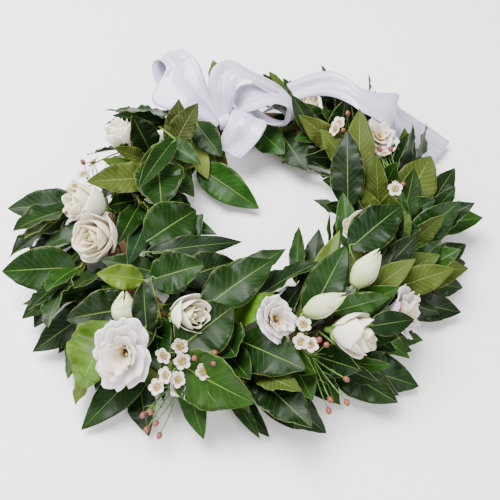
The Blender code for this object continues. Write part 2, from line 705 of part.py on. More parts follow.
def dress_bunches(bunches, parts, material, clearing):
    """Leaves of all bunches: those that show first, then those that fill in."""
    for number, row in enumerate(SHOW_LEAVES):
        bunch = place_show_leaf(clearing, bunches, row, random.Random(SEED + number))
        if bunch:
            clearing.add(bunch.pieces[-1], bunch.name + "_stem")
    number = SEED + 1000
    for bunch in bunches:
        for kind, slots in FILL_SLOTS.items():
            for slot, (side, lean) in enumerate(slots):
                number += 1
                chance = random.Random(number)
                if place_fill_leaf(clearing, bunch, kind, slot, side, lean, chance):
                    clearing.add(bunch.pieces[-1], bunch.name + "_stem")
    for bunch in bunches:
        join(bunch.name, bunch.pieces, material, parts)


def lobed_solid(name, width, height, profile, ends):
    """Closed solid of rings with lobes round Z, between the heights of its two poles."""
    count, rings = profile
    points = [Vector((0, 0, ends[0] * height))]
    for level, (radius, rise, lobes, depth, dip) in enumerate(rings):
        for number in range(count):
            angle = 2 * math.pi * number / count
            lobe = math.cos(lobes * angle + 1.9 * (level // 2))
            out = radius * width / 2 * (1 + depth * lobe)
            points.append(Vector((out * math.cos(angle), out * math.sin(angle),
                                  height * (rise - dip * (1 - lobe) / 2))))
    points.append(Vector((0, 0, ends[1] * height)))
    faces = []
    last = len(points) - 1
    for number in range(count):
        after = (number + 1) % count
        faces.append((0, 1 + number, 1 + after))
        for level in range(len(rings) - 1):
            a, b = 1 + level * count, 1 + (level + 1) * count
            faces += [(a + number, b + number, b + after), (a + number, b + after, a + after)]
        base = 1 + (len(rings) - 1) * count
        faces.append((last, base + after, base + number))
    return mesh_object(name, points, faces)


def make_head(name, kind, width, height):
    """Petals of one bloom, about its own Z axis from its base."""
    count, top, rings = PROFILES[kind]
    return lobed_solid(name, width, height, (count, rings), (top, 0.0))


def make_calyx(name, kind, width):
    """Green cup with sepals under a bloom, its top just under the bloom's base."""
    drop = CALYX_GAP + (0.04 * width if kind == "bud" else 0)
    calyx = lobed_solid(name, width, width, CALYX, (0.0, -0.15))
    move_all([calyx], Matrix.Translation((0, 0, -drop)))
    return calyx


def curved_route(start, leave, end, arrive, count):
    """Smooth route between two points that leaves and arrives in given directions."""
    size = (end - start).length * 0.4
    a, b = start + leave * size, end - arrive * size
    points = []
    for step in range(count):
        t = step / (count - 1)
        points.append(start * (1 - t) ** 3 + a * 3 * t * (1 - t) ** 2 + b * 3 * t * t * (1 - t)
                      + end * t ** 3)
    return points


def stem_to_core(name, start, leave, angle, side, radius, clearing, owner):
    """Stem from a flower down to the canes, ending a hair above them."""
    best = None
    distance = CORE_RADIUS + 5 * MM
    while distance > CORE_RADIUS - 5 * MM:
        end = ring_point(angle, side, distance)
        arrive = (-side_direction(angle, side) - ring_axes(angle)[1] * 0.6).normalized()
        stem = tube(name, curved_route(start, leave, end, arrive, 4), radius, 0)
        guard = tube(name, curved_route(start, leave, end, arrive, 4), radius + 0.2 * MM, 0)
        clear = clearing.free(guard, owner)
        bpy.data.objects.remove(guard)
        if not clear:
            bpy.data.objects.remove(stem)
            if best:
                break
        else:
            if best:
                bpy.data.objects.remove(best)
            best = stem
        distance -= 0.25 * MM
    return best


def move_all(pieces, matrix):
    """Place pieces that were made about their own origin."""
    for piece in pieces:
        piece.data.transform(matrix)


class Bloom:
    """One bloom or bud: its petals in one solid, its calyx and stem in another."""

    def __init__(self, row):
        self.name, self.kind, centre, facing, width, height = row
        self.axis = unit(*facing)
        self.base = Vector(centre) * MM - self.axis * height * 0.5 * MM
        place = Matrix.Translation(self.base) @ self.axis.to_track_quat("Z", "Y").to_matrix().to_4x4()
        self.head = make_head(self.name, self.kind, width * MM, height * MM)
        self.calyx = make_calyx(self.name + "_calyx", self.kind, width * MM)
        self.drop = 0.14 * width * MM
        move_all([self.head, self.calyx], place)

    def keep_clear(self, clearing):
        """Keep the petals and the calyx as obstacles."""
        for piece, owner in ((self.head, self.name), (self.calyx, self.name + "_stem")):
            clearing.add(piece, owner)

    def grow_stem(self, clearing):
        """Stem from the calyx to the canes, by the first route that is free."""
        start = self.base - self.axis * self.drop
        angle = ring_angle(self.base) - 4
        away = self.base - core_axis(angle)
        outward, _ = ring_axes(angle)
        side = math.degrees(math.atan2(away.z, away.dot(outward)))
        for sink in (0.3, 0.9, 2.0):
            leave = (Vector((0, 0, -sink)) - self.axis).normalized()
            for shift in (0, -3, 3, -6, 6, -9, 9, -13, 13):
                for lean in (0, 18, -18, 36, -36):
                    aim = max(15, min(165, side + lean))
                    stem = stem_to_core(self.name + "_stem", start, leave, angle + shift, aim,
                                        1.2 * MM, clearing, self.name + "_stem")
                    if stem:
                        clearing.add(stem, self.name + "_stem")
                        return [self.calyx, stem]
        return [self.calyx]


def star(name, centre, axis, width):
    """Open waxflower: a cup with five round petals, made as one faceted star."""
    turn = axis.to_track_quat("Z", "Y").to_matrix()
    points = [Vector((0, 0, -0.36 * width)), Vector((0, 0, -0.1 * width))]
    for number in range(5):
        angle = 2 * math.pi * number / 5
        half = math.pi / 5
        points.append(Vector((0.5 * width * math.cos(angle), 0.5 * width * math.sin(angle), 0)))
        points.append(Vector((0.26 * width * math.cos(angle + half),
                              0.26 * width * math.sin(angle + half), 0)))
    faces = []
    for number in range(10):
        a, b = 2 + number, 2 + (number + 1) % 10
        faces += [(0, b, a), (1, a, b)]
    return mesh_object(name, [centre + turn @ point for point in points], faces)


class Sprig:
    """Waxflower sprig: a stalk from the canes, forked to each flower and bud."""

    def __init__(self, row):
        self.name, self.angle, self.side, flowers, buds = row
        ends = [Vector(point) * MM for point in flowers + buds]
        middle = sum(ends, Vector()) / len(ends)
        self.spring = ring_point(self.angle, self.side, CORE_RADIUS + 4 * MM)
        self.fork = middle.lerp(self.spring, 0.45)
        self.pieces = [ball(self.name, self.fork, WAX_FORK, 1.0, unit(0, 0, 1))]
        for number, end in enumerate(ends):
            opening = number < len(flowers)
            axis = ((end - self.fork).normalized() + unit(0, -0.5, 0.8) * 0.9).normalized()
            foot = end - axis * (0.25 * WAX_FLOWER if opening else WAX_BUD * 0.6)
            self.pieces.append(cone(self.name, self.fork, foot, WAX_STALK, WAX_STALK * 0.9, 3))
            if opening:
                self.pieces.append(star(self.name, end, axis, WAX_FLOWER))
            else:
                self.pieces.append(bud_body(self.name, end, WAX_BUD / 2, 1.35, axis))

    def keep_clear(self, clearing):
        """Keep the sprig as an obstacle."""
        for piece in self.pieces:
            clearing.add(piece, self.name)

    def grow_stalk(self, clearing):
        """Stalk from the fork to the canes."""
        for shift in (0, 3, -3, 6, -6, 10, -10, 15):
            for lean in (0, 20, -20, 40):
                leave = (self.spring - self.fork).normalized()
                stalk = stem_to_core(self.name, self.fork, leave, self.angle + shift,
                                     max(8, min(170, self.side + lean)), 1.1 * MM, clearing, self.name)
                if stalk:
                    clearing.add(stalk, self.name)
                    self.pieces.insert(0, stalk)
                    return


def walled(name, points, faces):
    """Ribbon of an even thickness over a sheet of faces."""
    mesh = bpy.data.meshes.new(name)
    mesh.from_pydata([tuple(point) for point in points], [], faces)
    sheet = bpy.data.objects.new(name, mesh)
    wall = sheet.modifiers.new("Thickness", "SOLIDIFY")
    wall.thickness = RIBBON_THICKNESS
    wall.offset = 0.0
    solid = bpy.data.objects.new(name, evaluated_mesh(sheet))
    bpy.data.objects.remove(sheet)
    return solid


def strip(name, rows):
    """Ribbon from rows of its two edges, x, y, z in millimetres, given its thickness."""
    points = []
    for left, right in rows:
        points += [Vector(left) * MM, (Vector(left) + Vector(right)) / 2 * MM, Vector(right) * MM]
    faces = []
    for row in range(len(rows) - 1):
        for column in range(2):
            a = 3 * row + column
            faces.append((a, a + 1, a + 4, a + 3))
    return walled(name, points, faces)


def tie_band(crest):
    """Band tied round the canes, its highest station at a distance from the core's axis."""
    points = []
    for side, distance in TIE:
        middle = ring_point(BOW_ANGLE, side, (crest if side == TIE_CREST_SIDE else distance) * MM)
        across = ring_axes(BOW_ANGLE)[1] * TIE_HALF_WIDTH
        points += [middle - across, middle + across]
    faces = [(2 * row, 2 * row + 1, 2 * row + 3, 2 * row + 2) for row in range(len(TIE) - 1)]
    return walled("bow_tie", points, faces)


def make_bow(parts, material, clearing):
    """Satin bow: a band tied round the canes, a knot with three loops, a tail and a streamer."""
    knot = ball("knot", Vector(KNOT) * MM, KNOT_RADIUS * MM, 1.0, unit(0.2, -0.5, 0.8), 8)
    loops = [knot, strip("left", LEFT_LOOP), strip("middle", MIDDLE_LOOP), strip("right", RIGHT_LOOP)]
    for piece in loops:
        clearing.add(piece, "bow_loops")
    join("bow_loops", loops, material, parts)
    for step in range(SEAT_STEPS):
        band = tie_band(TIE_CREST - step * SEAT_STEP)
        if clearing.free(band, "bow_tie"):
            break
        bpy.data.objects.remove(band)
    clearing.add(band, "bow_tie")
    join("bow_tie", [band], material, parts)
    for step in range(SEAT_STEPS):
        back = Vector((0, (TAIL_START - step * SEAT_STEP) * MM, 0))
        tail = strip("bow_tail_front", FRONT_TAIL)
        tail.data.transform(Matrix.Translation(back))
        if clearing.free(tail, "bow_tail_front"):
            break
        bpy.data.objects.remove(tail)
    for name, ribbon in (("bow_tail_front", tail), ("bow_streamer", strip("bow_streamer", STREAMER))):
        clearing.add(ribbon, name)
        join(name, [ribbon], material, parts)


def centre_on_base(parts):
    """Bring the lowest, middle point of the whole wreath's box to the origin."""
    points = [vertex.co for thing in parts.objects for vertex in thing.data.vertices]
    low = [min(point[axis] for point in points) for axis in range(3)]
    high = [max(point[axis] for point in points) for axis in range(3)]
    shift = Vector((-(low[0] + high[0]) / 2, -(low[1] + high[1]) / 2, -low[2]))
    for thing in parts.objects:
        thing.data.transform(Matrix.Translation(shift))


def main():
    """Build the wreath."""
    for thing in list(bpy.data.objects):
        bpy.data.objects.remove(thing)
    parts = bpy.data.collections.new("laurel_wreath")
    bpy.context.scene.collection.children.link(parts)
    bark = new_material("vine bark", (0.12, 0.06, 0.03), 0.85)
    wire = new_material("green lacquered wire", (0.02, 0.06, 0.02), 0.5)
    laurel = new_material("bay leaf", (0.03, 0.11, 0.02), 0.35)
    satin = new_material("white satin", (0.85, 0.83, 0.88), 0.4)
    blooms = {"rose": new_material("rose petal", (0.85, 0.82, 0.72), 0.6),
              "lisianthus": new_material("lisianthus petal", (0.86, 0.82, 0.85), 0.6),
              "bud": new_material("bud petal", (0.78, 0.82, 0.6), 0.6),
              "stem": new_material("flower stem", (0.12, 0.25, 0.06), 0.5)}
    waxflower = new_material("waxflower", (0.8, 0.7, 0.66), 0.55)
    clearing = Clearing()
    make_canes(parts, bark, clearing)
    make_wire(parts, wire, clearing)
    make_bow(parts, satin, clearing)
    flowers = [Bloom(row) for row in BLOOMS]
    sprigs = [Sprig(row) for row in SPRIGS]
    for piece in flowers + sprigs:
        piece.keep_clear(clearing)
    bunches = []
    for turn in range(WIRE_TURNS):
        if turn != BOW_TURN:
            bunches.append(Bunch(len(bunches) + 1, turn * BUNCH_SPACING, clearing))
    for bloom in flowers:
        green = bloom.grow_stem(clearing)
        smooth(join(bloom.name, [bloom.head], blooms[bloom.kind], parts))
        join(bloom.name + "_stem", green, blooms["stem"], parts)
    for sprig in sprigs:
        sprig.grow_stalk(clearing)
        join(sprig.name, sprig.pieces, waxflower, parts)
    dress_bunches(bunches, parts, laurel, clearing)
    centre_on_base(parts)


main()
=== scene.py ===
"""Laurel wreath dressed for the eye: bay leaves, canes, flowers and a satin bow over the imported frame.

Each sub-assembly is a class that builds its meshes with bmesh operators and dresses them.  Places
are in millimetres from the middle of the ring, as in the wreath's own plan, and are shifted to the
frame when a piece is finished.
"""
import logging
import math
import random
from dataclasses import dataclass, field
from enum import Enum
from functools import partial
from typing import Any, Callable, NamedTuple

import bmesh
import bpy
from bpy.types import Material, NodeSocket, Object
from mathutils import Matrix, Vector
from mathutils.bvhtree import BVHTree
from mathutils.kdtree import KDTree


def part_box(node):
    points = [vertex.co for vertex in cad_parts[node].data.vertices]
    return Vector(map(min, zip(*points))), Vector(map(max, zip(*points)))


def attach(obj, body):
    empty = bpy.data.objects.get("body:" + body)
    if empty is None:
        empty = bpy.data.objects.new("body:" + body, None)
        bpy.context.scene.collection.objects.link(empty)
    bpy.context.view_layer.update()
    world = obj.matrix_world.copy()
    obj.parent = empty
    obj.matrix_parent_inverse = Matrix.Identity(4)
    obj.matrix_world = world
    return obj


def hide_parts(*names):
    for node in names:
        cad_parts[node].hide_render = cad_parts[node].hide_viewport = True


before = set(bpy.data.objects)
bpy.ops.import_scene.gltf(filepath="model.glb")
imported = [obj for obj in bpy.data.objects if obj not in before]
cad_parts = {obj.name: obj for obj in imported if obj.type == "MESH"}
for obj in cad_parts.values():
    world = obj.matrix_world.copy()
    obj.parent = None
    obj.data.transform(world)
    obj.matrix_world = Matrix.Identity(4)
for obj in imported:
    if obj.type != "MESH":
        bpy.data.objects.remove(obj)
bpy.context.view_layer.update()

LOG = logging.getLogger("wreath")
MM = 0.001
WELD = 0.002 * MM
WHITE = (1, 1, 1, 1)
GOLDEN_TURN = 2.4

# the ring's own plan
RING_RADIUS = 148 * MM
CORE_RADIUS = 13.2 * MM
CORE_HEIGHT = 12.4 * MM
CANE_COUNT = 4
CANE_RADIUS = 5.0 * MM
CANE_OFFSET = 8.2 * MM
CANE_TWISTS = 4
WIRE_TURNS = 16
BUNCH_SPACING = 360 / WIRE_TURNS
BOW_TURN = 4
STEM_RADIUS = 1.4 * MM
SHOOT_RADIUS = 1.1 * MM
STEM_HEIGHT = 15.0 * MM
STALK_LEAST = 4 * MM
ROUTE_END = 0.9
REACH_MEAN = 92 * MM
REACH_SWING = 34 * MM
REACH_PEAK = 215
FILL_TOP = 84 * MM
SHOW_TOP = 90 * MM
HOLE_RADIUS = 62 * MM
BOW_ANGLE = 101

# leaves as made: the plain blades of the frame, thinned and waved
LEAF_WAVES = 2.6
LEAF_SHEET = 0.32 * MM
LEAF_COLUMNS = 10
BLADE_FULLNESS = 1.2
RUFFLE = 1.7
OPENING = 0.8
LEAF_ROWS = 26
VEIN_LEAN = 0.2
VEIN_PAIRS = 12.0
UNDER_LEAVES = 16
UNDER_GAP = 0.6 * MM
BACK_REACH = 190 * MM
FOUND = 0.25 * MM
# the ridge point by which a leaf of the frame is known: its share of the length and its height
CREST_PART = 0.76
CREST_RISE = 0.65 * MM

# seeds of the draws, and how often a leaf is drawn before it is left out
SEED = 41
FILL_SEED = SEED + 1000
UNDER_SEED = 1000
UNDER_STYLE_SEED = 5000
LAST_SEED = 900
CANE_SEED = 5
FLOWER_SEED = 70
WAX_SEED = 300
SHOWN_TRIES = 70
FILL_TRIES = 26
UNDER_TRIES = 30
TRY_SHRINK = 0.012

# camera, from the middle of the ring
CAMERA_PLACE = (-7, -539.5, 736.3)
CAMERA_AIM = (-7, -52, 40)
CAMERA_LENS = 61.2

# soft lights: name, place in metres from the middle of the ring, side in metres, power in watts
LIGHTS = (("overhead_softbox", (-0.5, 0.3, 1.6), 1.1, 92.0),
          ("window_front", (0.7, -1.4, 1.3), 1.0, 30.0),
          ("window_left", (-1.6, -0.1, 0.9), 0.9, 24.0))

# leaves that show: tip x, y, z from the ring's centre; heading, pitch in degrees; length, width
SHOW_LEAVES = (
    # sweeping out to the left
    (-250, -77, 40, 180, -12, 100, 38), (-262, 8, 30, 176, -14, 95, 31),
    (-214, -48, 38, 210, -5, 62, 18), (-216, -152, 12, 207, -24, 88, 28),
    (-152, -211, 52, 250, -12, 84, 40), (-161, -230, 8, 226, -12, 88, 28),
    (-174, -145, 66, 194, 4, 74, 38), (-227, -112, 34, 194, -4, 84, 16),
    (-228, -122, 22, 200, -14, 84, 20), (-189, -145, 34, 245, -4, 66, 22),
    (-178, -182, 14, 255, -6, 60, 20),
    # left, over the roses' stems
    (-172, 8, 74, 200, 18, 72, 28), (-152, -10, 62, 222, 16, 66, 28),
    (-124, -92, 76, 268, 0, 92, 20), (-134, -66, 70, 262, 4, 76, 20),
    (-160, 40, 72, 186, 24, 66, 20), (-118, -4, 78, 248, 8, 84, 18),
    (-120, 36, 70, 232, 24, 50, 18), (-148, 50, 78, 200, 18, 62, 16),
    (-150, -104, 76, 152, 10, 56, 20), (-150, -80, 64, 172, 12, 54, 20),
    # far left
    (-133, 95, 80, 172, 22, 66, 28), (-156, 108, 66, 188, 22, 64, 20),
    (-158, 98, 60, 196, 16, 62, 18), (-88, 106, 92, 78, 44, 64, 28),
    (-71, 105, 80, 55, 40, 62, 26),
    # into the hole from the left
    (-70, 50, 56, 310, -4, 56, 30), (-94, -22, 66, 276, 8, 72, 44),
    (-60, -20, 62, 40, -2, 96, 44), (-40, -36, 44, 348, -4, 76, 20),
    (-14, -50, 52, 14, -8, 102, 20), (-62, 56, 44, 330, -4, 54, 20),
    (-70, 40, 34, 338, -10, 56, 20), (-50, 48, 24, 295, -20, 56, 20),
    (-40, 55, 24, 304, -20, 56, 18), (-36, 72, 42, 304, -8, 52, 26),
    (-30, 58, 14, 262, -24, 52, 30), (6, 24, 12, 320, -6, 86, 32),
    # front left
    (-50, -98, 82, 36, 10, 84, 34), (-50, -56, 44, 54, -14, 78, 28),
    (16, -82, 68, 36, -4, 102, 36), (30, -56, 48, 34, 2, 88, 26),
    (-19, -196, 78, 312, 8, 80, 44), (34, -196, 76, 324, 6, 100, 48),
    (-4, -222, 60, 322, 6, 88, 34), (-104, -118, 86, 95, 26, 46, 20),
    (-36, -224, 34, 290, -2, 58, 26), (-48, -244, 20, 288, -12, 66, 20),
    (-98, -236, 8, 284, -8, 64, 26), (-74, -218, 28, 304, 2, 58, 24),
    (2, -240, 12, 300, -6, 66, 13), (9, -238, 8, 306, -10, 66, 18),
    (16, -134, 78, 0, 14, 62, 26),
    # front right
    (42, -30, 50, 86, -4, 72, 13), (62, -34, 52, 72, -2, 66, 22),
    (80, -52, 74, 54, 6, 98, 22), (85, -72, 79, 54, 10, 88, 32),
    (152, -61, 80, 48, 16, 78, 26), (178, -70, 58, 30, 10, 68, 24),
    (209, -72, 36, 20, -10, 90, 32), (132, -122, 78, 10, 10, 70, 26),
    (125, -130, 68, 18, 12, 58, 20), (142, -149, 62, 352, 10, 66, 26),
    (128, -174, 52, 354, 2, 62, 20), (141, -171, 38, 320, -4, 54, 18),
    (152, -186, 8, 344, -22, 90, 34), (88, -193, 60, 314, 2, 62, 26),
    (48, -221, 52, 304, 2, 64, 28), (54, -214, 46, 296, 4, 56, 17),
    (64, -234, 10, 308, -12, 74, 30), (28, -212, 40, 310, 0, 56, 24),
    # right and far right
    (110, 100, 84, 90, 30, 80, 27), (94, 68, 86, 90, 32, 82, 30),
    (96, 122, 78, 68, 34, 64, 30), (68, 86, 68, 138, 34, 58, 20),
    (52, 62, 50, 150, 40, 70, 22), (75, 43, 52, 132, 44, 62, 28),
    (70, 42, 36, 160, 30, 52, 22), (72, 8, 38, 152, 38, 56, 24),
    (88, -6, 72, 92, 14, 68, 20), (130, -12, 80, 28, 38, 62, 30),
    (138, -36, 84, 40, 22, 76, 30), (122, 39, 80, 72, 44, 62, 20),
    (147, 39, 68, 36, 36, 52, 20), (169, 94, 56, 64, 14, 66, 26),
    (186, 62, 52, 54, 8, 82, 36), (182, 0, 56, 10, 22, 60, 22),
    (160, -46, 68, 346, 30, 54, 20), (168, -54, 56, 24, 30, 50, 17),
    (26, 146, 76, 128, 50, 52, 14), (36, 130, 74, 134, 44, 56, 18),
    (48, 122, 68, 148, 30, 58, 22), (68, 142, 76, 116, 34, 58, 20),
    (55, 63, 26, 296, 0, 62, 30), (32, 86, 28, 306, 2, 56, 28),
)

# leaves that fill in: side angle round the core and lean from the ring's direction, for each shoot
FILL_SLOTS = {"outer": ((-4, 32), (18, 48), (40, 40)),
              "top": ((68, 52), (104, 46)),
              "inner": ((140, 44), (172, 34))}
# each shoot: degrees onward from its wire, side angle round the core, distance from its axis
SHOOT_ROUTES = {"outer": ((2, 90, 15), (9, 62, 21), (18, 40, 31), (26, 26, 42)),
                "top": ((2, 90, 15), (9, 90, 22), (17, 90, 31), (24, 90, 40)),
                "inner": ((2, 90, 15), (9, 116, 21), (18, 136, 29), (26, 150, 37))}
# leaves underneath: the shoots in turn, and the side angles that each may take
UNDER_SHOOTS = ("outer", "inner", "top", "outer")
UNDER_SPANS = {"outer": (-32, 62), "inner": (128, 206), "top": (60, 130)}

# blooms: name, kind, centre x, y, z, facing direction, width, height
BLOOMS = (
    ("rose_far_left", "rose", (-146, 86, 58), (-0.2, 0.45, 0.85), 34, 34),
    ("rose_left_upper", "rose", (-172, -10, 62), (-0.75, -0.3, 0.55), 42, 44),
    ("rose_left_lower", "rose", (-157, -53, 64), (-0.4, -0.6, 0.7), 50, 42),
    ("lisianthus_left", "lisianthus", (-117, -182, 67), (-0.12, -0.6, 0.78), 62, 38),
    ("bud_left", "bud", (-121, -139, 72), (0.1, 0.5, 0.85), 26, 32),
    ("rose_front", "rose", (-63, -151, 79), (0.7, -0.4, 0.6), 38, 36),
    ("lisianthus_front", "lisianthus", (13, -152, 74), (0.4, -0.45, 0.8), 42, 32),
    ("bud_front", "bud", (60, -142, 83), (0.9, 0.25, 0.35), 22, 40),
    ("rose_right", "rose", (86, -165, 70), (0.88, -0.35, 0.3), 42, 40),
    ("bud_right", "bud", (101, -103, 83), (0.6, 0.62, 0.5), 25, 40),
    ("lisianthus_right", "lisianthus", (130, -132, 50), (0.92, -0.12, 0.36), 58, 36),
    ("rose_far", "rose", (58, 134, 50), (0.0, 0.1, 0.98), 30, 28),
    ("lisianthus_far", "lisianthus", (131, 86, 52), (0.1, -0.25, 0.96), 44, 32),
    ("rose_inner_right", "rose", (99, -50, 74), (-0.35, -0.3, 0.9), 32, 32),
)

# waxflower sprigs: name, ring angle and side where they spring, ends of flowers, ends of buds
SPRIGS = (
    ("waxflower_front_left", 246, 62,
     ((-68, -182, 80), (-82, -190, 77), (-66, -195, 76), (-80, -205, 69), (-69, -208, 67),
      (-48, -202, 70)),
     ((-55, -194, 80), (-38, -190, 82), (-39, -197, 77))),
    ("waxflower_low_left", 250, 8,
     ((-88, -212, 60), (-70, -212, 56), (-59, -216, 52)),
     ((-101, -228, 38), (-94, -226, 40), (-98, -238, 30), (-90, -234, 34), (-87, -242, 26))),
    ("waxflower_front_right", 284, 52,
     ((40, -162, 82), (38, -176, 76), (46, -178, 74)),
     ((54, -174, 76), (60, -178, 74), (78, -200, 52), (79, -216, 38), (64, -214, 40),
      (63, -222, 34))),
    ("waxflower_far_left", 168, 38,
     ((-174, 54, 52), (-182, 38, 50), (-190, 24, 46)),
     ((-184, 54, 50), (-194, 14, 44))),
    ("waxflower_far_right", 40, 88,
     ((88, 92, 70), (84, 84, 70)),
     ((97, 98, 78), (92, 80, 72))),
    ("waxflower_right", 4, 84,
     ((140, 4, 68), (134, 56, 62)),
     ((148, 10, 68), (130, 62, 62), (141, 60, 64))),
)

# how the blooms are made: petals, stamens and sepals, and a lisianthus's oval
ROSE_PETALS = 17
BUD_PETALS = 8
# each whorl of a lisianthus: petals, rim and top as shares of the bloom, half width in radians
WHORLS = ((2, 0.34, 0.98, 1.6), (2, 0.54, 1.04, 1.75), (3, 0.76, 0.98, 1.45), (4, 0.98, 0.8, 1.2))
OVAL = (0.86, 1.08)
STAMENS = 7
SEPALS = 5
PETAL_COLUMNS = 16
PETAL_ROWS = 12
PETAL_SHEET = 0.35 * MM
FLOWER_STEM_RADIUS = 1.2 * MM

# waxflower: widths of its florets, buds and stalks
WAX_FLOWER = 15.0 * MM
WAX_BUD = 5.2 * MM
WAX_STALK = 0.55 * MM
WAX_STEM_RADIUS = 1.1 * MM
WAX_SHEET = 0.3 * MM
WAX_PETALS = 5
NEEDLES = 14
# outline of a floret's cup: height over the floret's middle and radius, as shares of its width
WAX_CUP = ((-0.26, 0), (-0.2, 0.1), (-0.08, 0.22), (0.02, 0.265), (0.06, 0.25), (0.045, 0.17), (0.03, 0))

# the bow: each ribbon as rows of its two edges from the knot outward
KNOT = (-33, 118, 45)
KNOT_RADIUS = 9.7
KNOT_REACH = 8.5
LEFT_LOOP = (((-47, 108, 44), (-37, 117, 46)), ((-66, 117, 54), (-47, 131, 60)),
             ((-93, 120, 60), (-54, 143, 74)), ((-115, 133, 62), (-61, 160, 86)),
             ((-109, 152, 70), (-69, 173, 90)), ((-100, 168, 78), (-76, 179, 92)),
             ((-111, 186, 74), (-85, 188, 88)), ((-119, 188, 60), (-95, 190, 76)),
             ((-111, 173, 46), (-87, 186, 56)), ((-75, 149, 38), (-57, 162, 44)),
             ((-43, 115, 40), (-35, 122, 42)))
MIDDLE_LOOP = (((-40, 114, 46), (-31, 120, 46)), ((-50, 132, 62), (-26, 126, 60)),
               ((-53, 143, 78), (-23, 131, 72)), ((-47, 157, 90), (-21, 139, 82)),
               ((-29, 166, 92), (-10, 145, 84)), ((-3, 156, 84), (2, 141, 76)),
               ((23, 152, 70), (16, 139, 66)), ((32, 152, 54), (22, 142, 52)),
               ((16, 139, 42), (6, 135, 42)), ((-18, 122, 42), (-20, 116, 42)))
RIGHT_LOOP = (((-25, 152, 48), (-21, 125, 50)), ((-20, 157, 60), (-7, 117, 62)),
              ((-7, 157, 66), (6, 115, 70)), ((11, 157, 66), (17, 115, 76)),
              ((28, 154, 62), (26, 114, 76)), ((42, 142, 52), (33, 113, 72)),
              ((46, 131, 44), (32, 110, 64)), ((36, 124, 40), (29, 106, 56)),
              ((18, 125, 44), (19, 108, 51)), ((3, 129, 52), (6, 113, 49)),
              ((-9, 137, 52), (-7, 121, 47)), ((-18, 143, 48), (-18, 129, 45)))
FRONT_TAIL = (((-28, 131, 47), (-18, 124, 47)), ((-26, 130, 56), (10, 109, 56)),
              ((-31, 112, 54), (6, 90, 54)), ((-38, 99, 44), (-5, 80, 44)),
              ((-43, 89, 34), (-17, 73, 34)))
STREAMER = (((34, 162, 60), (44, 139, 58)), ((55, 160, 74), (66, 137, 66)),
            ((75, 157, 84), (84, 127, 74)), ((93, 147, 88), (100, 111, 80)),
            ((109, 132, 86), (112, 99, 80)), ((127, 127, 82), (125, 96, 74)),
            ((155, 132, 74), (139, 93, 64)), ((156, 131, 58), (147, 88, 48)),
            ((175, 132, 40), (156, 83, 34)), ((198, 129, 24), (174, 84, 20)),
            ((222, 120, 10), (192, 81, 10)))
# each ribbon 42 mm wide: name, node, rows, length, how it is held, what it rests on
RIBBON_WIDTH = 0.042
SATIN_SHEET = 0.35 * MM
RIBBONS = (
    ("ribbon_loop_left", "bow_loops", LEFT_LOOP, 0.21, "gathered", ("ribbon_knot",)),
    ("ribbon_loop_middle", "bow_loops", MIDDLE_LOOP, 0.12, "gathered", ("ribbon_knot",)),
    ("ribbon_loop_right", "bow_loops", RIGHT_LOOP, 0.12, "gathered", ("ribbon_knot",)),
    ("ribbon_tail", "bow_tail_front", FRONT_TAIL, 0.055, "hung", ("ribbon_knot",)),
    ("ribbon_streamer", "bow_streamer", STREAMER, 0.21, "laid", ("bay_leaves_02", "bay_leaves_03")),
)
# the tie round the canes: side angle and distance from the core's axis
TIE = ((-38, 18.2), (0, 18.2), (36, 18.4), (70, 20), (100, 21.5), (120, 25.5), (139, 31.2),
       (158, 27), (182, 21), (218, 18.4))
TIE_HALF_WIDTH = 10 * MM


class Tone(Enum):
    """How a bay leaf shows: its colour, and whether its underside is turned up."""

    DEEP = ("#0b2205", False)
    GLOSSY = ("#122f07", False)
    FRESH = ("#20430e", False)
    LIGHT = ("#4a6815", False)
    BLUE = ("#1e3b22", False)
    OLIVE = ("#3e4e17", True)
    PALE = ("#63742b", True)
    MOSS = ("#2a3610", True)


# leaves that show in a tone of their own, by their place in the list
TONE_PLACES = {
    Tone.DEEP: (22, 73),
    Tone.GLOSSY: (0, 1, 16, 27, 28, 40, 42, 43, 44),
    Tone.FRESH: (47, 60, 67),
    Tone.LIGHT: (4, 19, 52, 55),
    Tone.BLUE: (13, 86, 87),
    Tone.OLIVE: (11, 15, 18, 58, 59, 71, 74, 80, 82, 85, 92),
    Tone.PALE: (9, 33),
    Tone.MOSS: (17, 24, 25, 26, 34, 36),
}
SHOWN_TONES = {place: tone for tone, places in TONE_PLACES.items() for place in places}
OTHER_SHOWN_TONES = (Tone.DEEP, Tone.FRESH, Tone.GLOSSY)
FILL_TONES = (Tone.DEEP, Tone.FRESH, Tone.DEEP, Tone.GLOSSY, Tone.OLIVE)
UNDER_TONES = (Tone.DEEP, Tone.DEEP, Tone.FRESH, Tone.GLOSSY, Tone.OLIVE)

# leaves that fill in but would show as spikes past the wreath's outline, by their seeds
STRAY_LEAVES = (1042, 1057, 1058, 1063, 1070, 1072, 1077, 1078, 1079, 1084, 1085, 1086, 1112, 1126, 1133,
                1135, 1136, 1140, 1141, 1142)

# broad leaves tucked in last over gaps: start and tip from the ring's centre, width, tone
LAST_LEAVES = (
    ((87, -80, 82), (139, -35, 90), 34, Tone.DEEP),
    ((-133, -148, 64), (-159, -207, 46), 46, Tone.LIGHT),
    ((-108, -58, 62), (-61, -17, 60), 42, Tone.GLOSSY),
    ((-70, -183, 76), (-22, -138, 74), 44, Tone.GLOSSY),
    ((-75, -189, 66), (-3, -226, 56), 42, Tone.FRESH),
    ((-42, 163, 44), (-50, 206, 56), 15, Tone.OLIVE),
    ((-35, 168, 42), (-28, 204, 54), 13, Tone.FRESH),
    ((97, -165, 84), (141, -152, 74), 19, Tone.DEEP),
    ((-74, -94, 50), (-21, -69, 44), 30, Tone.DEEP),
)


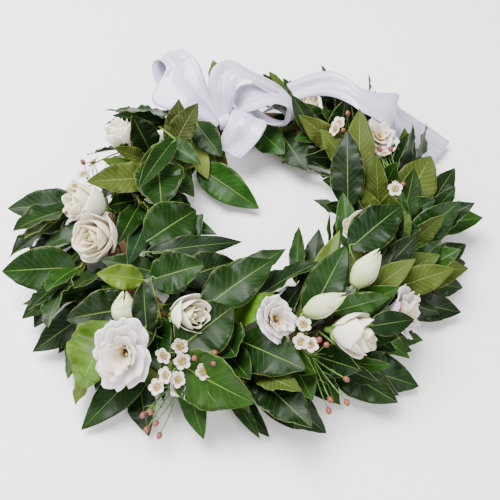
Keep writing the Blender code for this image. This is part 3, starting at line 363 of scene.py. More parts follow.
def linear(code: str) -> tuple[float, float, float, float]:
    """Turn an sRGB hex code into a linear colour.

    Args:
        code: A hash sign and six hex digits.

    Returns:
        Red, green, blue and alpha.
    """
    parts = [int(code[start:start + 2], 16) / 255 for start in (1, 3, 5)]
    return (*[part / 12.92 if part <= 0.04045 else ((part + 0.055) / 1.055) ** 2.4
              for part in parts], 1.0)


def add_node(material: Material, kind: str, inputs: dict | None = None, **settings: Any) -> Any:
    """Add a node with its settings and links.

    Args:
        material: The material whose tree it joins.
        kind: The node's type name, without its "ShaderNode".
        inputs: Socket name or number to a value, or to a socket that is linked.
        settings: Properties of the node.

    Returns:
        The node's outputs.
    """
    tree = material.node_tree
    node = tree.nodes.new("ShaderNode" + kind)
    for name, value in settings.items():
        setattr(node, name, value)
    for name, value in (inputs or {}).items():
        if isinstance(value, NodeSocket):
            tree.links.new(value, node.inputs[name])
        else:
            node.inputs[name].default_value = value
    return node.outputs


def new_shader(name: str, **constants: Any) -> tuple[Material, Callable]:
    """Make a material and set its shader's constant sockets.

    Args:
        name: The real material's name.
        constants: Socket names, with underscores for spaces, and their values.

    Returns:
        The material, and the function that adds nodes to it.
    """
    material = bpy.data.materials.new(name)
    material.use_nodes = True
    shader = material.node_tree.nodes["Principled BSDF"]
    for socket, value in constants.items():
        shader.inputs[socket.replace("_", " ")].default_value = value
    return material, partial(add_node, material)


def link_shader(material: Material, **sources: NodeSocket) -> Material:
    """Link patterns to the shader's sockets, named with underscores for spaces, and return the material."""
    shader = material.node_tree.nodes["Principled BSDF"]
    for socket, source in sources.items():
        material.node_tree.links.new(source, shader.inputs[socket.replace("_", " ")])
    return material


def from_middle(node: Callable, across: NodeSocket) -> NodeSocket:
    """Distance from a strip's middle line, 1 at its edges, from its share across."""
    wide = node("Math", {0: across, 1: 2.0, 2: -1.0}, operation="MULTIPLY_ADD")[0]
    return node("Math", {0: wide}, operation="ABSOLUTE")[0]


def mix_by_noise(node: Callable, where: NodeSocket, noise: dict, spread: tuple[float, float, float],
                 start: Any, end: Any) -> tuple[NodeSocket, NodeSocket]:
    """Mix two colours by a noise, as blotches and streaks do.

    Args:
        node: Adds nodes to the material.
        where: Place that the noise is read at.
        noise: The noise's own settings.
        spread: Where the mixing starts, where it ends, and its greatest share.
        start: Colour, or its socket, where the noise is low.
        end: Colour, or its socket, where it is high.

    Returns:
        The noise and the mixed colour.
    """
    grain = node("TexNoise", {"Vector": where, **noise})["Fac"]
    share = node("MapRange", {0: grain, 1: spread[0], 2: spread[1], 3: 0.0, 4: spread[2]})[0]
    return grain, node("Mix", {0: share, 6: start, 7: end}, data_type="RGBA")[2]


def smooth_step(part: float) -> float:
    """Ease a share from 0 to 1."""
    part = max(0.0, min(1.0, part))
    return part * part * (3 - 2 * part)


# materials


@dataclass(frozen=True)
class BayLeafFinish:
    """Leathery bay leaf: a waxy blade with a pale midrib, fine side veins and a thin pale margin."""

    name: str
    vein: str
    vein_mix: float
    roughness: float
    coat: float
    relief: float
    shade: float

    def make(self) -> Material:
        """Build the material, its colour read from each leaf's own tint."""
        material, node = new_shader(self.name, IOR=1.45, Coat_Weight=self.coat, Coat_Roughness=0.15,
                                    Specular_IOR_Level=0.16)
        soft = {"interpolation_type": "SMOOTHSTEP"}
        parts = node("SeparateXYZ", {0: node("UVMap", uv_map="leaf")["UV"]})
        off = from_middle(node, parts[0])
        lean = node("Math", {0: off, 1: -VEIN_LEAN, 2: parts[1]}, operation="MULTIPLY_ADD")[0]
        pairs = node("Math", {0: lean, 1: VEIN_PAIRS}, operation="MULTIPLY")[0]
        fold = node("Math", {0: pairs, 1: 0.5}, operation="PINGPONG")[0]
        vein = node("MapRange", {0: fold, 1: 0.005, 2: 0.06, 3: 1.0, 4: 0.0}, **soft)[0]
        rib = node("MapRange", {0: off, 1: 0.008, 2: 0.038, 3: 1.0, 4: 0.0}, **soft)[0]
        margin = node("MapRange", {0: off, 1: 0.96, 2: 0.99, 3: 0.0, 4: 0.22}, **soft)[0]
        tint = node("Attribute", attribute_name="tint")["Color"]
        where = node("TexCoord")["Object"]
        dark = node("Mix", {0: 1.0, 6: tint, 7: (self.shade, self.shade, self.shade, 1)},
                    data_type="RGBA", blend_type="MULTIPLY")[2]
        blotch, body = mix_by_noise(node, where, {"Scale": 55.0, "Detail": 3.0}, (0.3, 0.7, 1.0), dark, tint)
        fine = node("Math", {0: vein, 1: self.vein_mix}, operation="MULTIPLY")[0]
        both = node("Math", {0: rib, 1: 0.42, 2: fine}, operation="MULTIPLY_ADD", use_clamp=True)[0]
        veined = node("Mix", {0: both, 6: body, 7: linear(self.vein)}, data_type="RGBA")[2]
        edged = node("Mix", {0: margin, 6: veined, 7: linear("#a3a857")}, data_type="RGBA")[2]
        grain = node("TexVoronoi", {"Vector": where, "Scale": 700.0})["Distance"]
        ridge = node("Math", {0: vein, 1: 0.5, 2: rib}, operation="MULTIPLY_ADD")[0]
        height = node("Math", {0: grain, 1: 0.3, 2: ridge}, operation="MULTIPLY_ADD")[0]
        bump = node("Bump", {"Height": height, "Strength": self.relief, "Distance": 0.4 * MM})[0]
        gloss = node("MapRange", {0: blotch, 1: 0.3, 2: 0.7, 3: self.roughness - 0.06,
                                  4: self.roughness + 0.1})[0]
        return link_shader(material, Base_Color=edged, Normal=bump, Roughness=gloss)


@dataclass(frozen=True)
class PetalFinish:
    """Flower petal: a soft matt skin with fine veins from its base and a tinted base."""

    name: str
    base: str
    base_reach: float
    veins: float
    roughness: float = 0.62

    def make(self) -> Material:
        """Build the material, its colour read from each petal's own tint."""
        material, node = new_shader(self.name, IOR=1.4, Sheen_Weight=0.1, Sheen_Roughness=0.5,
                                    Roughness=self.roughness, Subsurface_Weight=0.35,
                                    Subsurface_Scale=2.5 * MM, Subsurface_Radius=(1.0, 0.9, 0.7))
        place = node("UVMap", uv_map="petal")["UV"]
        along = node("SeparateXYZ", {0: place})[1]
        tint = node("Attribute", attribute_name="tint")["Color"]
        foot = node("MapRange", {0: along, 1: 0.05, 2: self.base_reach, 3: 0.9, 4: 0.0},
                    interpolation_type="SMOOTHSTEP")[0]
        body = node("Mix", {0: foot, 6: tint, 7: linear(self.base)}, data_type="RGBA")[2]
        stretched = node("Mapping", {0: place, 3: (26.0, 1.6, 1.0)})[0]
        rays, veined = mix_by_noise(node, stretched, {"Scale": 1.0, "Detail": 2.0}, (0.4, 0.7, self.veins),
                                    body, linear("#c9c4ad"))
        bump = node("Bump", {"Height": rays, "Strength": 0.25, "Distance": 0.3 * MM})[0]
        return link_shader(material, Base_Color=veined, Normal=bump)


@dataclass(frozen=True)
class SkinFinish:
    """Plain plant skin, bark or lacquer with streaks along it and a fine grain."""

    name: str
    light: str
    dark: str
    roughness: float
    streak: tuple[float, float, float]
    relief: float
    mapped: str = "skin"

    def make(self) -> Material:
        """Build the material on the piece's own map, stretched along it."""
        material, node = new_shader(self.name, IOR=1.45, Roughness=self.roughness)
        place = node("UVMap", uv_map=self.mapped)["UV"]
        stretched = node("Mapping", {0: place, 3: self.streak})[0]
        streaks, colour = mix_by_noise(node, stretched, {"Scale": 1.0, "Detail": 5.0, "Roughness": 0.65},
                                       (0.35, 0.65, 1.0), linear(self.dark), linear(self.light))
        bump = node("Bump", {"Height": streaks, "Strength": self.relief, "Distance": 0.6 * MM})[0]
        return link_shader(material, Base_Color=colour, Normal=bump)


@dataclass(frozen=True)
class SatinFinish:
    """White polyester satin ribbon: smooth floats that gleam along the weave, with a woven edge; its colours
    are painted lavender-grey shade, streaked with paler painted sheen along the ribbon.
    """

    name: str = "polyester satin ribbon, white"
    # light and shade are painted colours: a lavender-grey painted shade on the white satin, and the paler
    # painted sheen streaked through it
    light: str = "#cfcadb"
    shade: str = "#aca5c1"
    edge: str = "#938caa"

    def make(self) -> Material:
        """Build the material; its threads, too fine to show, are drawn 1.1 mm apart and faint."""
        material, node = new_shader(self.name, IOR=1.5, Sheen_Weight=0.25, Sheen_Roughness=0.3,
                                    Coat_Weight=0.1)
        place = node("UVMap", uv_map="ribbon")["UV"]
        stretched = node("Mapping", {0: place, 3: (22.0, 1.4, 1.0)})[0]
        # painted sheen and shade: noise streaks along the ribbon mix the painted shade colour with the paler
        # painted sheen
        streaks, colour = mix_by_noise(node, stretched, {"Scale": 1.0, "Detail": 3.0}, (0.3, 0.7, 1.0),
                                       linear(self.shade), linear(self.light))
        off = from_middle(node, node("SeparateXYZ", {0: place})[0])
        edge = node("MapRange", {0: off, 1: 0.94, 2: 0.97, 3: 0.0, 4: 0.5})[0]
        edged = node("Mix", {0: edge, 6: colour, 7: linear(self.edge)}, data_type="RGBA")[2]
        weave = node("TexWave", {"Vector": place, "Scale": 12.0}, bands_direction="X")["Fac"]
        height = node("Math", {0: weave, 1: 0.12, 2: streaks}, operation="MULTIPLY_ADD")[0]
        bump = node("Bump", {"Height": height, "Strength": 0.12, "Distance": 0.1 * MM})[0]
        gloss = node("MapRange", {0: streaks, 1: 0.3, 2: 0.7, 3: 0.2, 4: 0.3})[0]
        return link_shader(material, Base_Color=edged, Normal=bump, Roughness=gloss)


@dataclass(frozen=True)
class WireFinish:
    """Iron wire dipped in green lacquer: a dull gleam, rubbed paler in places."""

    name: str = "lacquered iron wire, green"
    lacquer: str = "#27431f"
    worn: str = "#4b5a35"

    def make(self) -> Material:
        """Build the material on the wire's own coordinates, for it has no map."""
        material, node = new_shader(self.name, Roughness=0.4, Coat_Weight=0.3)
        grain, colour = mix_by_noise(node, node("TexCoord")["Object"], {"Scale": 400.0, "Detail": 3.0},
                                     (0.45, 0.65, 1.0), linear(self.lacquer), linear(self.worn))
        bump = node("Bump", {"Height": grain, "Strength": 0.3, "Distance": 0.1 * MM})[0]
        return link_shader(material, Base_Color=colour, Normal=bump)


def made(finish: Any) -> Any:
    """Leave a finish to be made into its material when the palette is opened."""
    return field(default_factory=finish.make)


@dataclass
class Palette:
    """Every material of the wreath."""

    # waxy cuticle above: deep green, glossy, pale midrib
    leaf_above: Material = made(BayLeafFinish("bay leaf, waxy upper face", "#83a04c", 0.1, 0.38, 0.03,
                                              0.5, 0.5))
    # matt underside: the tint shows paler and the veins stand proud
    leaf_below: Material = made(BayLeafFinish("bay leaf, matt underside", "#a0a866", 0.3, 0.55, 0.0,
                                              0.8, 0.8))
    # horny margin: a thin pale line round each leaf
    leaf_margin: Material = made(SkinFinish("bay leaf, horny margin", "#7d8a42", "#4c6129", 0.5,
                                            (8.0, 8.0, 1.0), 0.1, "leaf"))
    # young wood: brown streaks with green in them
    shoot: Material = made(SkinFinish("young laurel shoot", "#6f6a3a", "#4b3c22", 0.6, (4.0, 30.0, 1.0), 0.4))
    # stripped vine: dry brown fibres along each cane
    bark: Material = made(SkinFinish("dried vine bark", "#7a5638", "#3b2516", 0.85, (14.0, 44.0, 1.0), 0.9))
    # thin soft petals: light passes through them, and each kind is greener or browner at its foot
    rose: Material = made(PetalFinish("rose petal, cream white", "#d5dcae", 0.3, 0.1))
    lisianthus: Material = made(PetalFinish("lisianthus petal, lilac white", "#c9b98a", 0.5, 0.3))
    bud: Material = made(PetalFinish("closed bud petal, green white", "#a3b566", 0.8, 0.3))
    # smooth green skin with faint streaks along it
    green: Material = made(SkinFinish("flower stem and sepal", "#6f9440", "#4a7029", 0.5,
                                      (5.0, 20.0, 1.0), 0.3))
    # firm little petals, pink at the foot and waxier than a rose's
    wax_petal: Material = made(PetalFinish("waxflower petal", "#c48f86", 0.45, 0.2, 0.45))
    # waxy cups and buds: glossy and mottled
    wax_cup: Material = made(SkinFinish("waxflower nectar cup", "#9c9a2e", "#5e4a1c", 0.35,
                                        (3.0, 3.0, 1.0), 0.2))
    wax_bud: Material = made(SkinFinish("waxflower bud, pink brown", "#8f5240", "#5f3225", 0.45,
                                        (3.0, 3.0, 1.0), 0.2))
    # powdery pollen: matt and uneven
    stamen: Material = made(SkinFinish("stamens, yellow brown", "#d09a30", "#8a5f1e", 0.7,
                                       (3.0, 3.0, 1.0), 0.3))
    # satin: a cool white sheen that runs along the ribbon, painted into its colour as pale streaks over a
    # lavender-grey painted shade
    satin: Material = made(SatinFinish())
    # green lacquer over iron wire: a dull gleam along each turn
    wire: Material = made(WireFinish())


# mesh tools


@dataclass
class Workpiece:
    """One piece while it is being built: a bmesh with a map, a tint for each vertex and its slots."""

    name: str
    map_name: str
    materials: list[Material]

    def __post_init__(self) -> None:
        """Open the mesh and its layers."""
        self.form = bmesh.new()
        self.map = self.form.loops.layers.uv.new(self.map_name)
        self.tints = self.form.verts.layers.float_color.new("tint")

    def add_grid(self, columns: int, rows: int, place: Callable[[float, float], Vector],
                 tint: tuple = WHITE, slot: int = 0, closed: bool = False, welded: bool = False) -> None:
        """Add a grid and move each of its vertices by a formula.

        Args:
            columns: Faces across.
            rows: Faces along.
            place: Point for a share across and a share along.
            tint: Linear colour stored on its vertices.
            slot: Material slot of its faces.
            closed: True where the grid wraps into a closed body.
            welded: True where an edge of the sheet runs to one point or meets the opposite edge.
        """
        made = bmesh.ops.create_grid(self.form, x_segments=columns, y_segments=rows, size=1.0)["verts"]
        shares = {vertex: ((vertex.co.x + 1) / 2, (vertex.co.y + 1) / 2) for vertex in made}
        faces = {face for vertex in made for face in vertex.link_faces}
        for face in faces:
            face.material_index = slot
            face.smooth = True
            for loop in face.loops:
                loop[self.map].uv = shares[loop.vert]
        for vertex in made:
            vertex.co = place(*shares[vertex])
            vertex[self.tints] = tint
        if welded or closed:
            bmesh.ops.remove_doubles(self.form, verts=made, dist=WELD)
        if closed:
            kept = [face for face in faces if face.is_valid]
            bmesh.ops.recalc_face_normals(self.form, faces=kept)

    def add_tube(self, path: list[Vector], radius: Callable[[float], float], sides: int = 8,
                 tint: tuple = WHITE, slot: int = 0) -> None:
        """Sweep a round section along a path, closed flat at both ends.

        Args:
            path: Points of the path.
            radius: Radius at a share of the path.
            sides: Faces round it.
            tint: Linear colour stored on its vertices.
            slot: Material slot.
        """
        frames = path_frames(path)
        last = len(path) - 1
        rows = last + 2

        def place(across: float, along: float) -> Vector:
            row = round(along * rows)
            index = max(0, min(last, row - 1))
            side, up = frames[index]
            turn = math.tau * across
            size = radius(index / last) if 0 < row < rows else 0.0
            return path[index] + (side * math.cos(turn) + up * math.sin(turn)) * size

        self.add_grid(sides, rows, place, tint, slot, closed=True)

    def finish(self, stands_for: str, slot: str, sheet: float = 0.0, offset: float = -1.0) -> Object:
        """Turn the bmesh into a piece of the object.

        Args:
            stands_for: CAD node that it replaces.
            slot: Not used.
            sheet: Thickness given by a Solidify modifier, 0 for none.
            offset: Side that the thickness grows to.

        Returns:
            The piece.
        """
        bmesh.ops.translate(self.form, verts=self.form.verts, vec=SHIFT)
        mesh = bpy.data.meshes.new(self.name)
        self.form.to_mesh(mesh)
        self.form.free()
        for material in self.materials:
            mesh.materials.append(material)
        piece = bpy.data.objects.new(self.name, mesh)
        bpy.context.scene.collection.objects.link(piece)
        if sheet:
            wall = piece.modifiers.new("Thickness", "SOLIDIFY")
            wall.thickness = sheet
            wall.offset = offset
            if len(self.materials) > 2:
                wall.material_offset = 1
                wall.material_offset_rim = 2
        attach(piece, "root")
        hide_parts(stands_for)
        LOG.info("%s: %d faces", self.name, len(mesh.polygons))
        return piece


def square_to(way: Vector, axis: Vector) -> Vector:
    """Turn a direction square to an axis of length 1."""
    return (way - axis * way.dot(axis)).normalized()


def path_frames(path: list[Vector]) -> list[tuple[Vector, Vector]]:
    """Carry a side and an up direction along a path without twist.

    Args:
        path: Points of the path.

    Returns:
        A pair of directions square to the path at each point.
    """
    frames = []
    side = None
    for index, point in enumerate(path):
        ahead = path[min(index + 1, len(path) - 1)]
        behind = path[max(index - 1, 0)]
        onward = (ahead - behind).normalized()
        if side is None:
            side = onward.orthogonal().normalized()
        side = square_to(side, onward)
        frames.append((side, onward.cross(side)))
    return frames


def smooth_path(points: list[Vector], steps: int) -> list[Vector]:
    """Round a route through its points.

    Args:
        points: Points that the route passes.
        steps: New points for each stretch.

    Returns:
        Points of a smooth curve through them.
    """
    made = []
    padded = [points[0] * 2 - points[1], *points, points[-1] * 2 - points[-2]]
    for before, start, end, after in zip(padded, padded[1:], padded[2:], padded[3:]):
        for step in range(steps):
            t = step / steps
            made.append(0.5 * (2 * start + (end - before) * t
                               + (2 * before - 5 * start + 4 * end - after) * t * t
                               + (3 * start - before - 3 * end + after) * t ** 3))
    made.append(points[-1].copy())
    return made


# the ring's plan, as the frame was built


def unit(*values: float) -> Vector:
    """Make a unit vector."""
    return Vector(values).normalized()


def ring_axes(angle: float) -> tuple[Vector, Vector]:
    """Outward and onward directions at a ring angle in degrees."""
    turn = math.radians(angle)
    return Vector((math.cos(turn), math.sin(turn), 0)), Vector((-math.sin(turn), math.cos(turn), 0))


def side_direction(angle: float, side: float) -> Vector:
    """Direction away from the core's axis, 0 outward and 90 up."""
    outward, _ = ring_axes(angle)
    turn = math.radians(side)
    return outward * math.cos(turn) + Vector((0, 0, math.sin(turn)))


def core_axis(angle: float) -> Vector:
    """Point on the core's axis."""
    outward, _ = ring_axes(angle)
    return outward * RING_RADIUS + Vector((0, 0, CORE_HEIGHT))


def ring_point(angle: float, side: float, distance: float) -> Vector:
    """Point at a distance from the core's axis."""
    return core_axis(angle) + side_direction(angle, side) * distance


def ring_angle(point: Vector) -> float:
    """Ring angle of a point, in degrees."""
    return math.degrees(math.atan2(point.y, point.x)) % 360


def reach_at(angle: float) -> float:
    """How far the leaves reach at a ring angle."""
    return REACH_MEAN + REACH_SWING * math.cos(math.radians(angle - REACH_PEAK))


def ring_centre() -> Vector:
    """Middle of the ring in the frame: each cane is a closed helix, alike in both directions."""
    low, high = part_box("vine_cane_1")
    return Vector(((low[0] + high[0]) / 2, (low[1] + high[1]) / 2, 0.0))


SHIFT = ring_centre()


def shoot_points(start: float, kind: str) -> list[Vector]:
    """Route of one of a bunch's shoots from its bound stem.

    Args:
        start: Ring angle where the bunch is wired.
        kind: outer, top or inner.

    Returns:
        Points of the route.
    """
    fullness = reach_at(start + 20) / REACH_MEAN
    points = []
    for onward, side, distance in SHOOT_ROUTES[kind]:
        spread = 1 + (fullness - 1) * onward / 26
        points.append(ring_point(start + onward, side, distance * spread * MM))
    return points


def nearest_on_route(points: list[Vector], target: Vector) -> Vector:
    """Closest point to a target on a route, past its first point."""
    best = points[-2].lerp(points[-1], ROUTE_END)
    for a, b in zip(points[1:-1], points[2:]):
        along = b - a
        part = max(0.0, min(ROUTE_END, (target - a).dot(along) / along.length_squared))
        spot = a + along * part
        if (spot - target).length < (best - target).length:
            best = spot
    return best


def heading_vector(heading: float, pitch: float) -> Vector:
    """Direction from a heading in plan and a pitch above the level."""
    turn = math.radians(heading)
    rise = math.radians(pitch)
    return Vector((math.cos(turn) * math.cos(rise), math.sin(turn) * math.cos(rise), math.sin(rise)))


def face_for(middle: Vector, direction: Vector, tilt: float) -> Vector:
    """Upper face of a leaf: away from the core and up, square to its direction."""
    away = middle - core_axis(ring_angle(middle))
    face = away.normalized() * 0.6 + unit(0, -0.35, 0.9) * 0.6
    return Matrix.Rotation(tilt, 3, direction) @ square_to(face, direction)


class LeafStyle(NamedTuple):
    """How one leaf differs from a plain blade."""

    bend: float
    fold: float
    wave: float
    phase: float
    twist: float


def style_for(chance: random.Random, width: float) -> LeafStyle:
    """Draw the style of a leaf of a width."""
    return LeafStyle(chance.uniform(0.02, 0.12), chance.uniform(0.08, 0.3),
                     chance.uniform(0.03, 0.07) * width, chance.uniform(0, math.tau),
                     chance.uniform(-0.4, 0.4))


def spring_at(route: list[Vector], place: float) -> Vector:
    """Point of a shoot at a place counted in the points of its route."""
    index = min(int(place), len(route) - 2)
    return route[index].lerp(route[index + 1], min(place - index, ROUTE_END))


def box_of(points: list[Vector]) -> tuple[list[float], list[float]]:
    """Lowest and highest corner of some points."""
    return ([min(point[axis] for point in points) for axis in range(3)],
            [max(point[axis] for point in points) for axis in range(3)])


def mesh_shape(mesh: Any) -> tuple[list[Vector], list[tuple]]:
    """Points of a mesh from the ring's centre, and its faces."""
    return [vertex.co - SHIFT for vertex in mesh.vertices], [tuple(face.vertices) for face in mesh.polygons]


def half_width(part: float) -> float:
    """A bay leaf's half width along its length, as a share of its greatest."""
    return 3.164 * part ** 0.7 * (1 - part)


# laurel


@dataclass
class Leaf:
    """One bay leaf as the frame has it, redrawn thin, waved and veined."""

    spring: Vector
    root: Vector
    tip: Vector
    face: Vector
    width: float
    style: LeafStyle
    tone: Tone
    seed: int

    def section(self, part: float) -> tuple[Vector, Vector, Vector]:
        """Centre, across and up directions at a share of the blade."""
        middle = (self.root + self.tip) / 2 + self.face * self.style.bend * (self.tip - self.root).length
        centre = self.root * (1 - part) ** 2 + middle * 2 * part * (1 - part) + self.tip * part ** 2
        onward = ((middle - self.root) * (1 - part) + (self.tip - middle) * part).normalized()
        across = self.face.cross(onward).normalized()
        up = onward.cross(across).normalized()
        turn = Matrix.Rotation(self.style.twist * part, 3, onward)
        return centre, turn @ across, turn @ up

    def turn_up(self) -> None:
        """Roll the blade about its own line so that its face opens to the front."""
        onward = (self.tip - self.root).normalized()
        self.face = square_to(self.face + unit(0, -0.57, 0.82) * OPENING, onward)

    def crest(self, part: float, thick: float) -> Vector:
        """Ridge point of the frame's plain blade at a share of its length."""
        centre, _, up = self.section(part)
        return centre + up * thick

    def add_blade(self, work: Workpiece) -> None:
        """Add the waved blade to a piece, its upper face on the first slot or turned over."""
        _, fold, wave, phase, _ = self.style
        code, turned = self.tone.value
        sections = [self.section(row / LEAF_ROWS) for row in range(LEAF_ROWS + 1)]
        chance = random.Random(self.seed)
        colour = Vector(linear(code)[:3]) * chance.uniform(0.82, 1.2)
        colour.x *= chance.uniform(0.85, 1.25)
        crimp = chance.uniform(0.25, 0.6)

        def place(across: float, along: float) -> Vector:
            centre, sideways, up = sections[round(along * LEAF_ROWS)]
            share = 1 - 2 * across
            half = max(half_width(along), 0.03 * (1 - along)) * self.width / 2 * BLADE_FULLNESS
            lag = 0.0 if share > 0 else 2.2
            ripple = math.sin(math.tau * LEAF_WAVES * along + phase + lag)
            ripple += crimp * math.sin(math.tau * 7.3 * along + 3 * phase + lag)
            lift = fold * half * abs(share) ** 1.4
            lift += RUFFLE * wave * half_width(along) * ripple * abs(share) ** 1.8
            return centre + sideways * half * share + up * lift

        work.add_grid(LEAF_COLUMNS, LEAF_ROWS, place, (*colour, 1.0), 3 if turned else 0, welded=True)

    def add_stalk(self, work: Workpiece) -> None:
        """Add the leaf's stalk, which runs on as the midrib under the blade."""
        centre, _, up = self.section(0.1)
        end, _, up_end = self.section(0.3)
        path = smooth_path([self.spring, self.root - up * 0.2 * MM, centre - up * 0.4 * MM,
                            end - up_end * 0.45 * MM], 4)
        work.add_tube(path, lambda part: (0.95 - 0.6 * part) * MM, 6, slot=1)


@dataclass
class Bunch:
    """One wired bunch of laurel: its bound stem, shoots and leaves, matched to its CAD node."""

    number: int
    start: float

    def __post_init__(self) -> None:
        """Read which shoots the frame kept, and how long they are."""
        self.node = f"laurel_bunch_{self.number:02d}"
        points, _ = mesh_shape(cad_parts[self.node].data)
        self.tree = KDTree(len(points))
        for index, point in enumerate(points):
            self.tree.insert(point, index)
        self.tree.balance()
        self.routes = {}
        for kind in FILL_SLOTS:
            route = shoot_points(self.start, kind)
            while len(route) > 2 and self.tree.find(route[-1])[2] > 1.3 * SHOOT_RADIUS:
                route = route[:-1]
            self.routes[kind] = route
        self.leaves: list[Leaf] = []

    def holds(self, point: Vector) -> bool:
        """True where the node has a corner at a point."""
        return self.tree.find(point)[2] < FOUND

    def add_under_leaf(self, thicket: "Thicket", slot: int) -> bool:
        """Fill the bunch underneath with one more leaf, where there is room for it.

        Args:
            thicket: What stands in its way.
            slot: Its place in the bunch, from its foot to its end.

        Returns:
            True where it found room.
        """
        chance = random.Random(UNDER_SEED * self.number + slot)
        kind = UNDER_SHOOTS[slot % len(UNDER_SHOOTS)]
        route = self.routes[kind]
        for attempt in range(UNDER_TRIES):
            spring = spring_at(route, chance.uniform(0.25, len(route) - 1.05))
            angle = ring_angle(spring)
            side = chance.uniform(*UNDER_SPANS[kind])
            away = side_direction(angle, side)
            _, onward = ring_axes(angle)
            tilt = math.radians(chance.uniform(18, 58))
            direction = (away * math.cos(tilt) + onward * math.sin(tilt)).normalized()
            fullness = reach_at(angle) / REACH_MEAN
            length = chance.uniform(58, 86) * MM * (0.5 + 0.5 * fullness) * (1 - TRY_SHRINK * attempt)
            if kind == "inner":
                length *= 0.72
            width = length * chance.uniform(0.34, 0.44)
            root = spring + (direction + away * 0.6).normalized() * 7 * MM
            tip = root + direction * length
            if not 5 * MM < tip.z < 72 * MM or tip.to_2d().length < HOLE_RADIUS:
                continue
            under_bow = abs(angle - BOW_ANGLE) < 20 and side > 40
            past_back = 25 < ring_angle(tip) < 178 and tip.to_2d().length > BACK_REACH
            if under_bow or past_back:
                continue
            face = away * math.sin(tilt) - onward * math.cos(tilt) * 0.4 + Vector((0, 0, 0.9))
            face = Matrix.Rotation(chance.uniform(-0.4, 0.4), 3, direction) @ square_to(face, direction)
            style = style_for(chance, width)
            tone = UNDER_TONES[chance.randrange(len(UNDER_TONES))]
            leaf = Leaf(spring, root, tip, face, width, style, tone,
                        UNDER_STYLE_SEED + 100 * self.number + slot)
            if thicket.free(leaf):
                thicket.add(leaf)
                self.leaves.append(leaf)
                return True
        return False

    def build(self, palette: Palette) -> None:
        """Make the leaves and the wood of the bunch."""
        blades = Workpiece(f"bay_leaves_{self.number:02d}", "leaf",
                           [palette.leaf_above, palette.leaf_below, palette.leaf_margin,
                            palette.leaf_below, palette.leaf_above, palette.leaf_margin])
        wood = Workpiece(f"laurel_shoots_{self.number:02d}", "skin", [palette.shoot, palette.green])
        bound = [ring_point(self.start + onward, 90, STEM_HEIGHT) for onward in (-6, -3, 0, 3)]
        wood.add_tube(bound, lambda part: STEM_RADIUS, 8)
        for route in self.routes.values():
            wood.add_tube(smooth_path(route, 5), lambda part: SHOOT_RADIUS * (1.05 - 0.35 * part), 8)
        for leaf in self.leaves:
            leaf.add_blade(blades)
            leaf.add_stalk(wood)
        blades.finish(self.node, "bay_leaf", LEAF_SHEET)
        wood.finish(self.node, "bay_leaf")


class Thicket:
    """What already grows or stands there, so that a leaf underneath can be tested against it."""

    def __init__(self, ribbons: list[Object]) -> None:
        """Start with the ribbons, and the flowers and canes of the frame."""
        self.taken = []
        for ribbon in ribbons:
            self.keep(*mesh_shape(ribbon.data))
        self.ribbon_count = len(self.taken)
        for name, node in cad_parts.items():
            if not name.startswith(("laurel_bunch", "binding_wire", "bow_")):
                self.keep(*mesh_shape(node.data))

    def keep(self, points: list[Vector], faces: list[tuple]) -> None:
        """Remember a body by its search tree and its box."""
        self.taken.append((BVHTree.FromPolygons(points, faces), *box_of(points)))

    def shape(self, leaf: Leaf) -> tuple[list[Vector], list[tuple]]:
        """Coarse blade of a leaf, folded along its midrib."""
        points = []
        for part in (0.04, 0.2, 0.4, 0.6, 0.8, 0.96):
            centre, across, up = leaf.section(part)
            half = half_width(part) * leaf.width / 2 * BLADE_FULLNESS
            for share in (1, 0, -1):
                points.append(centre + across * half * share + up * leaf.style.fold * half * abs(share))
        corners = [3 * row + column for row in range(5) for column in range(2)]
        return points, [(corner, corner + 1, corner + 4, corner + 3) for corner in corners]

    def clear_of_ribbons(self, leaf: Leaf) -> bool:
        """True where a leaf crosses no ribbon."""
        tree = BVHTree.FromPolygons(*self.shape(leaf))
        return not any(tree.overlap(other) for other, _, _ in self.taken[:self.ribbon_count])

    def add(self, leaf: Leaf) -> None:
        """Keep a leaf as an obstacle."""
        self.keep(*self.shape(leaf))

    def free(self, leaf: Leaf) -> bool:
        """True where a leaf crosses nothing and lies above the floor."""
        points, faces = self.shape(leaf)
        low, high = box_of(points)
        if low[2] - UNDER_GAP < 2 * MM:
            return False
        tree = BVHTree.FromPolygons(points, faces)
        for other, other_low, other_high in self.taken:
            near = all(low[axis] - UNDER_GAP <= other_high[axis]
                       and high[axis] + UNDER_GAP >= other_low[axis] for axis in range(3))
            if near and tree.overlap(other):
                return False
        return True


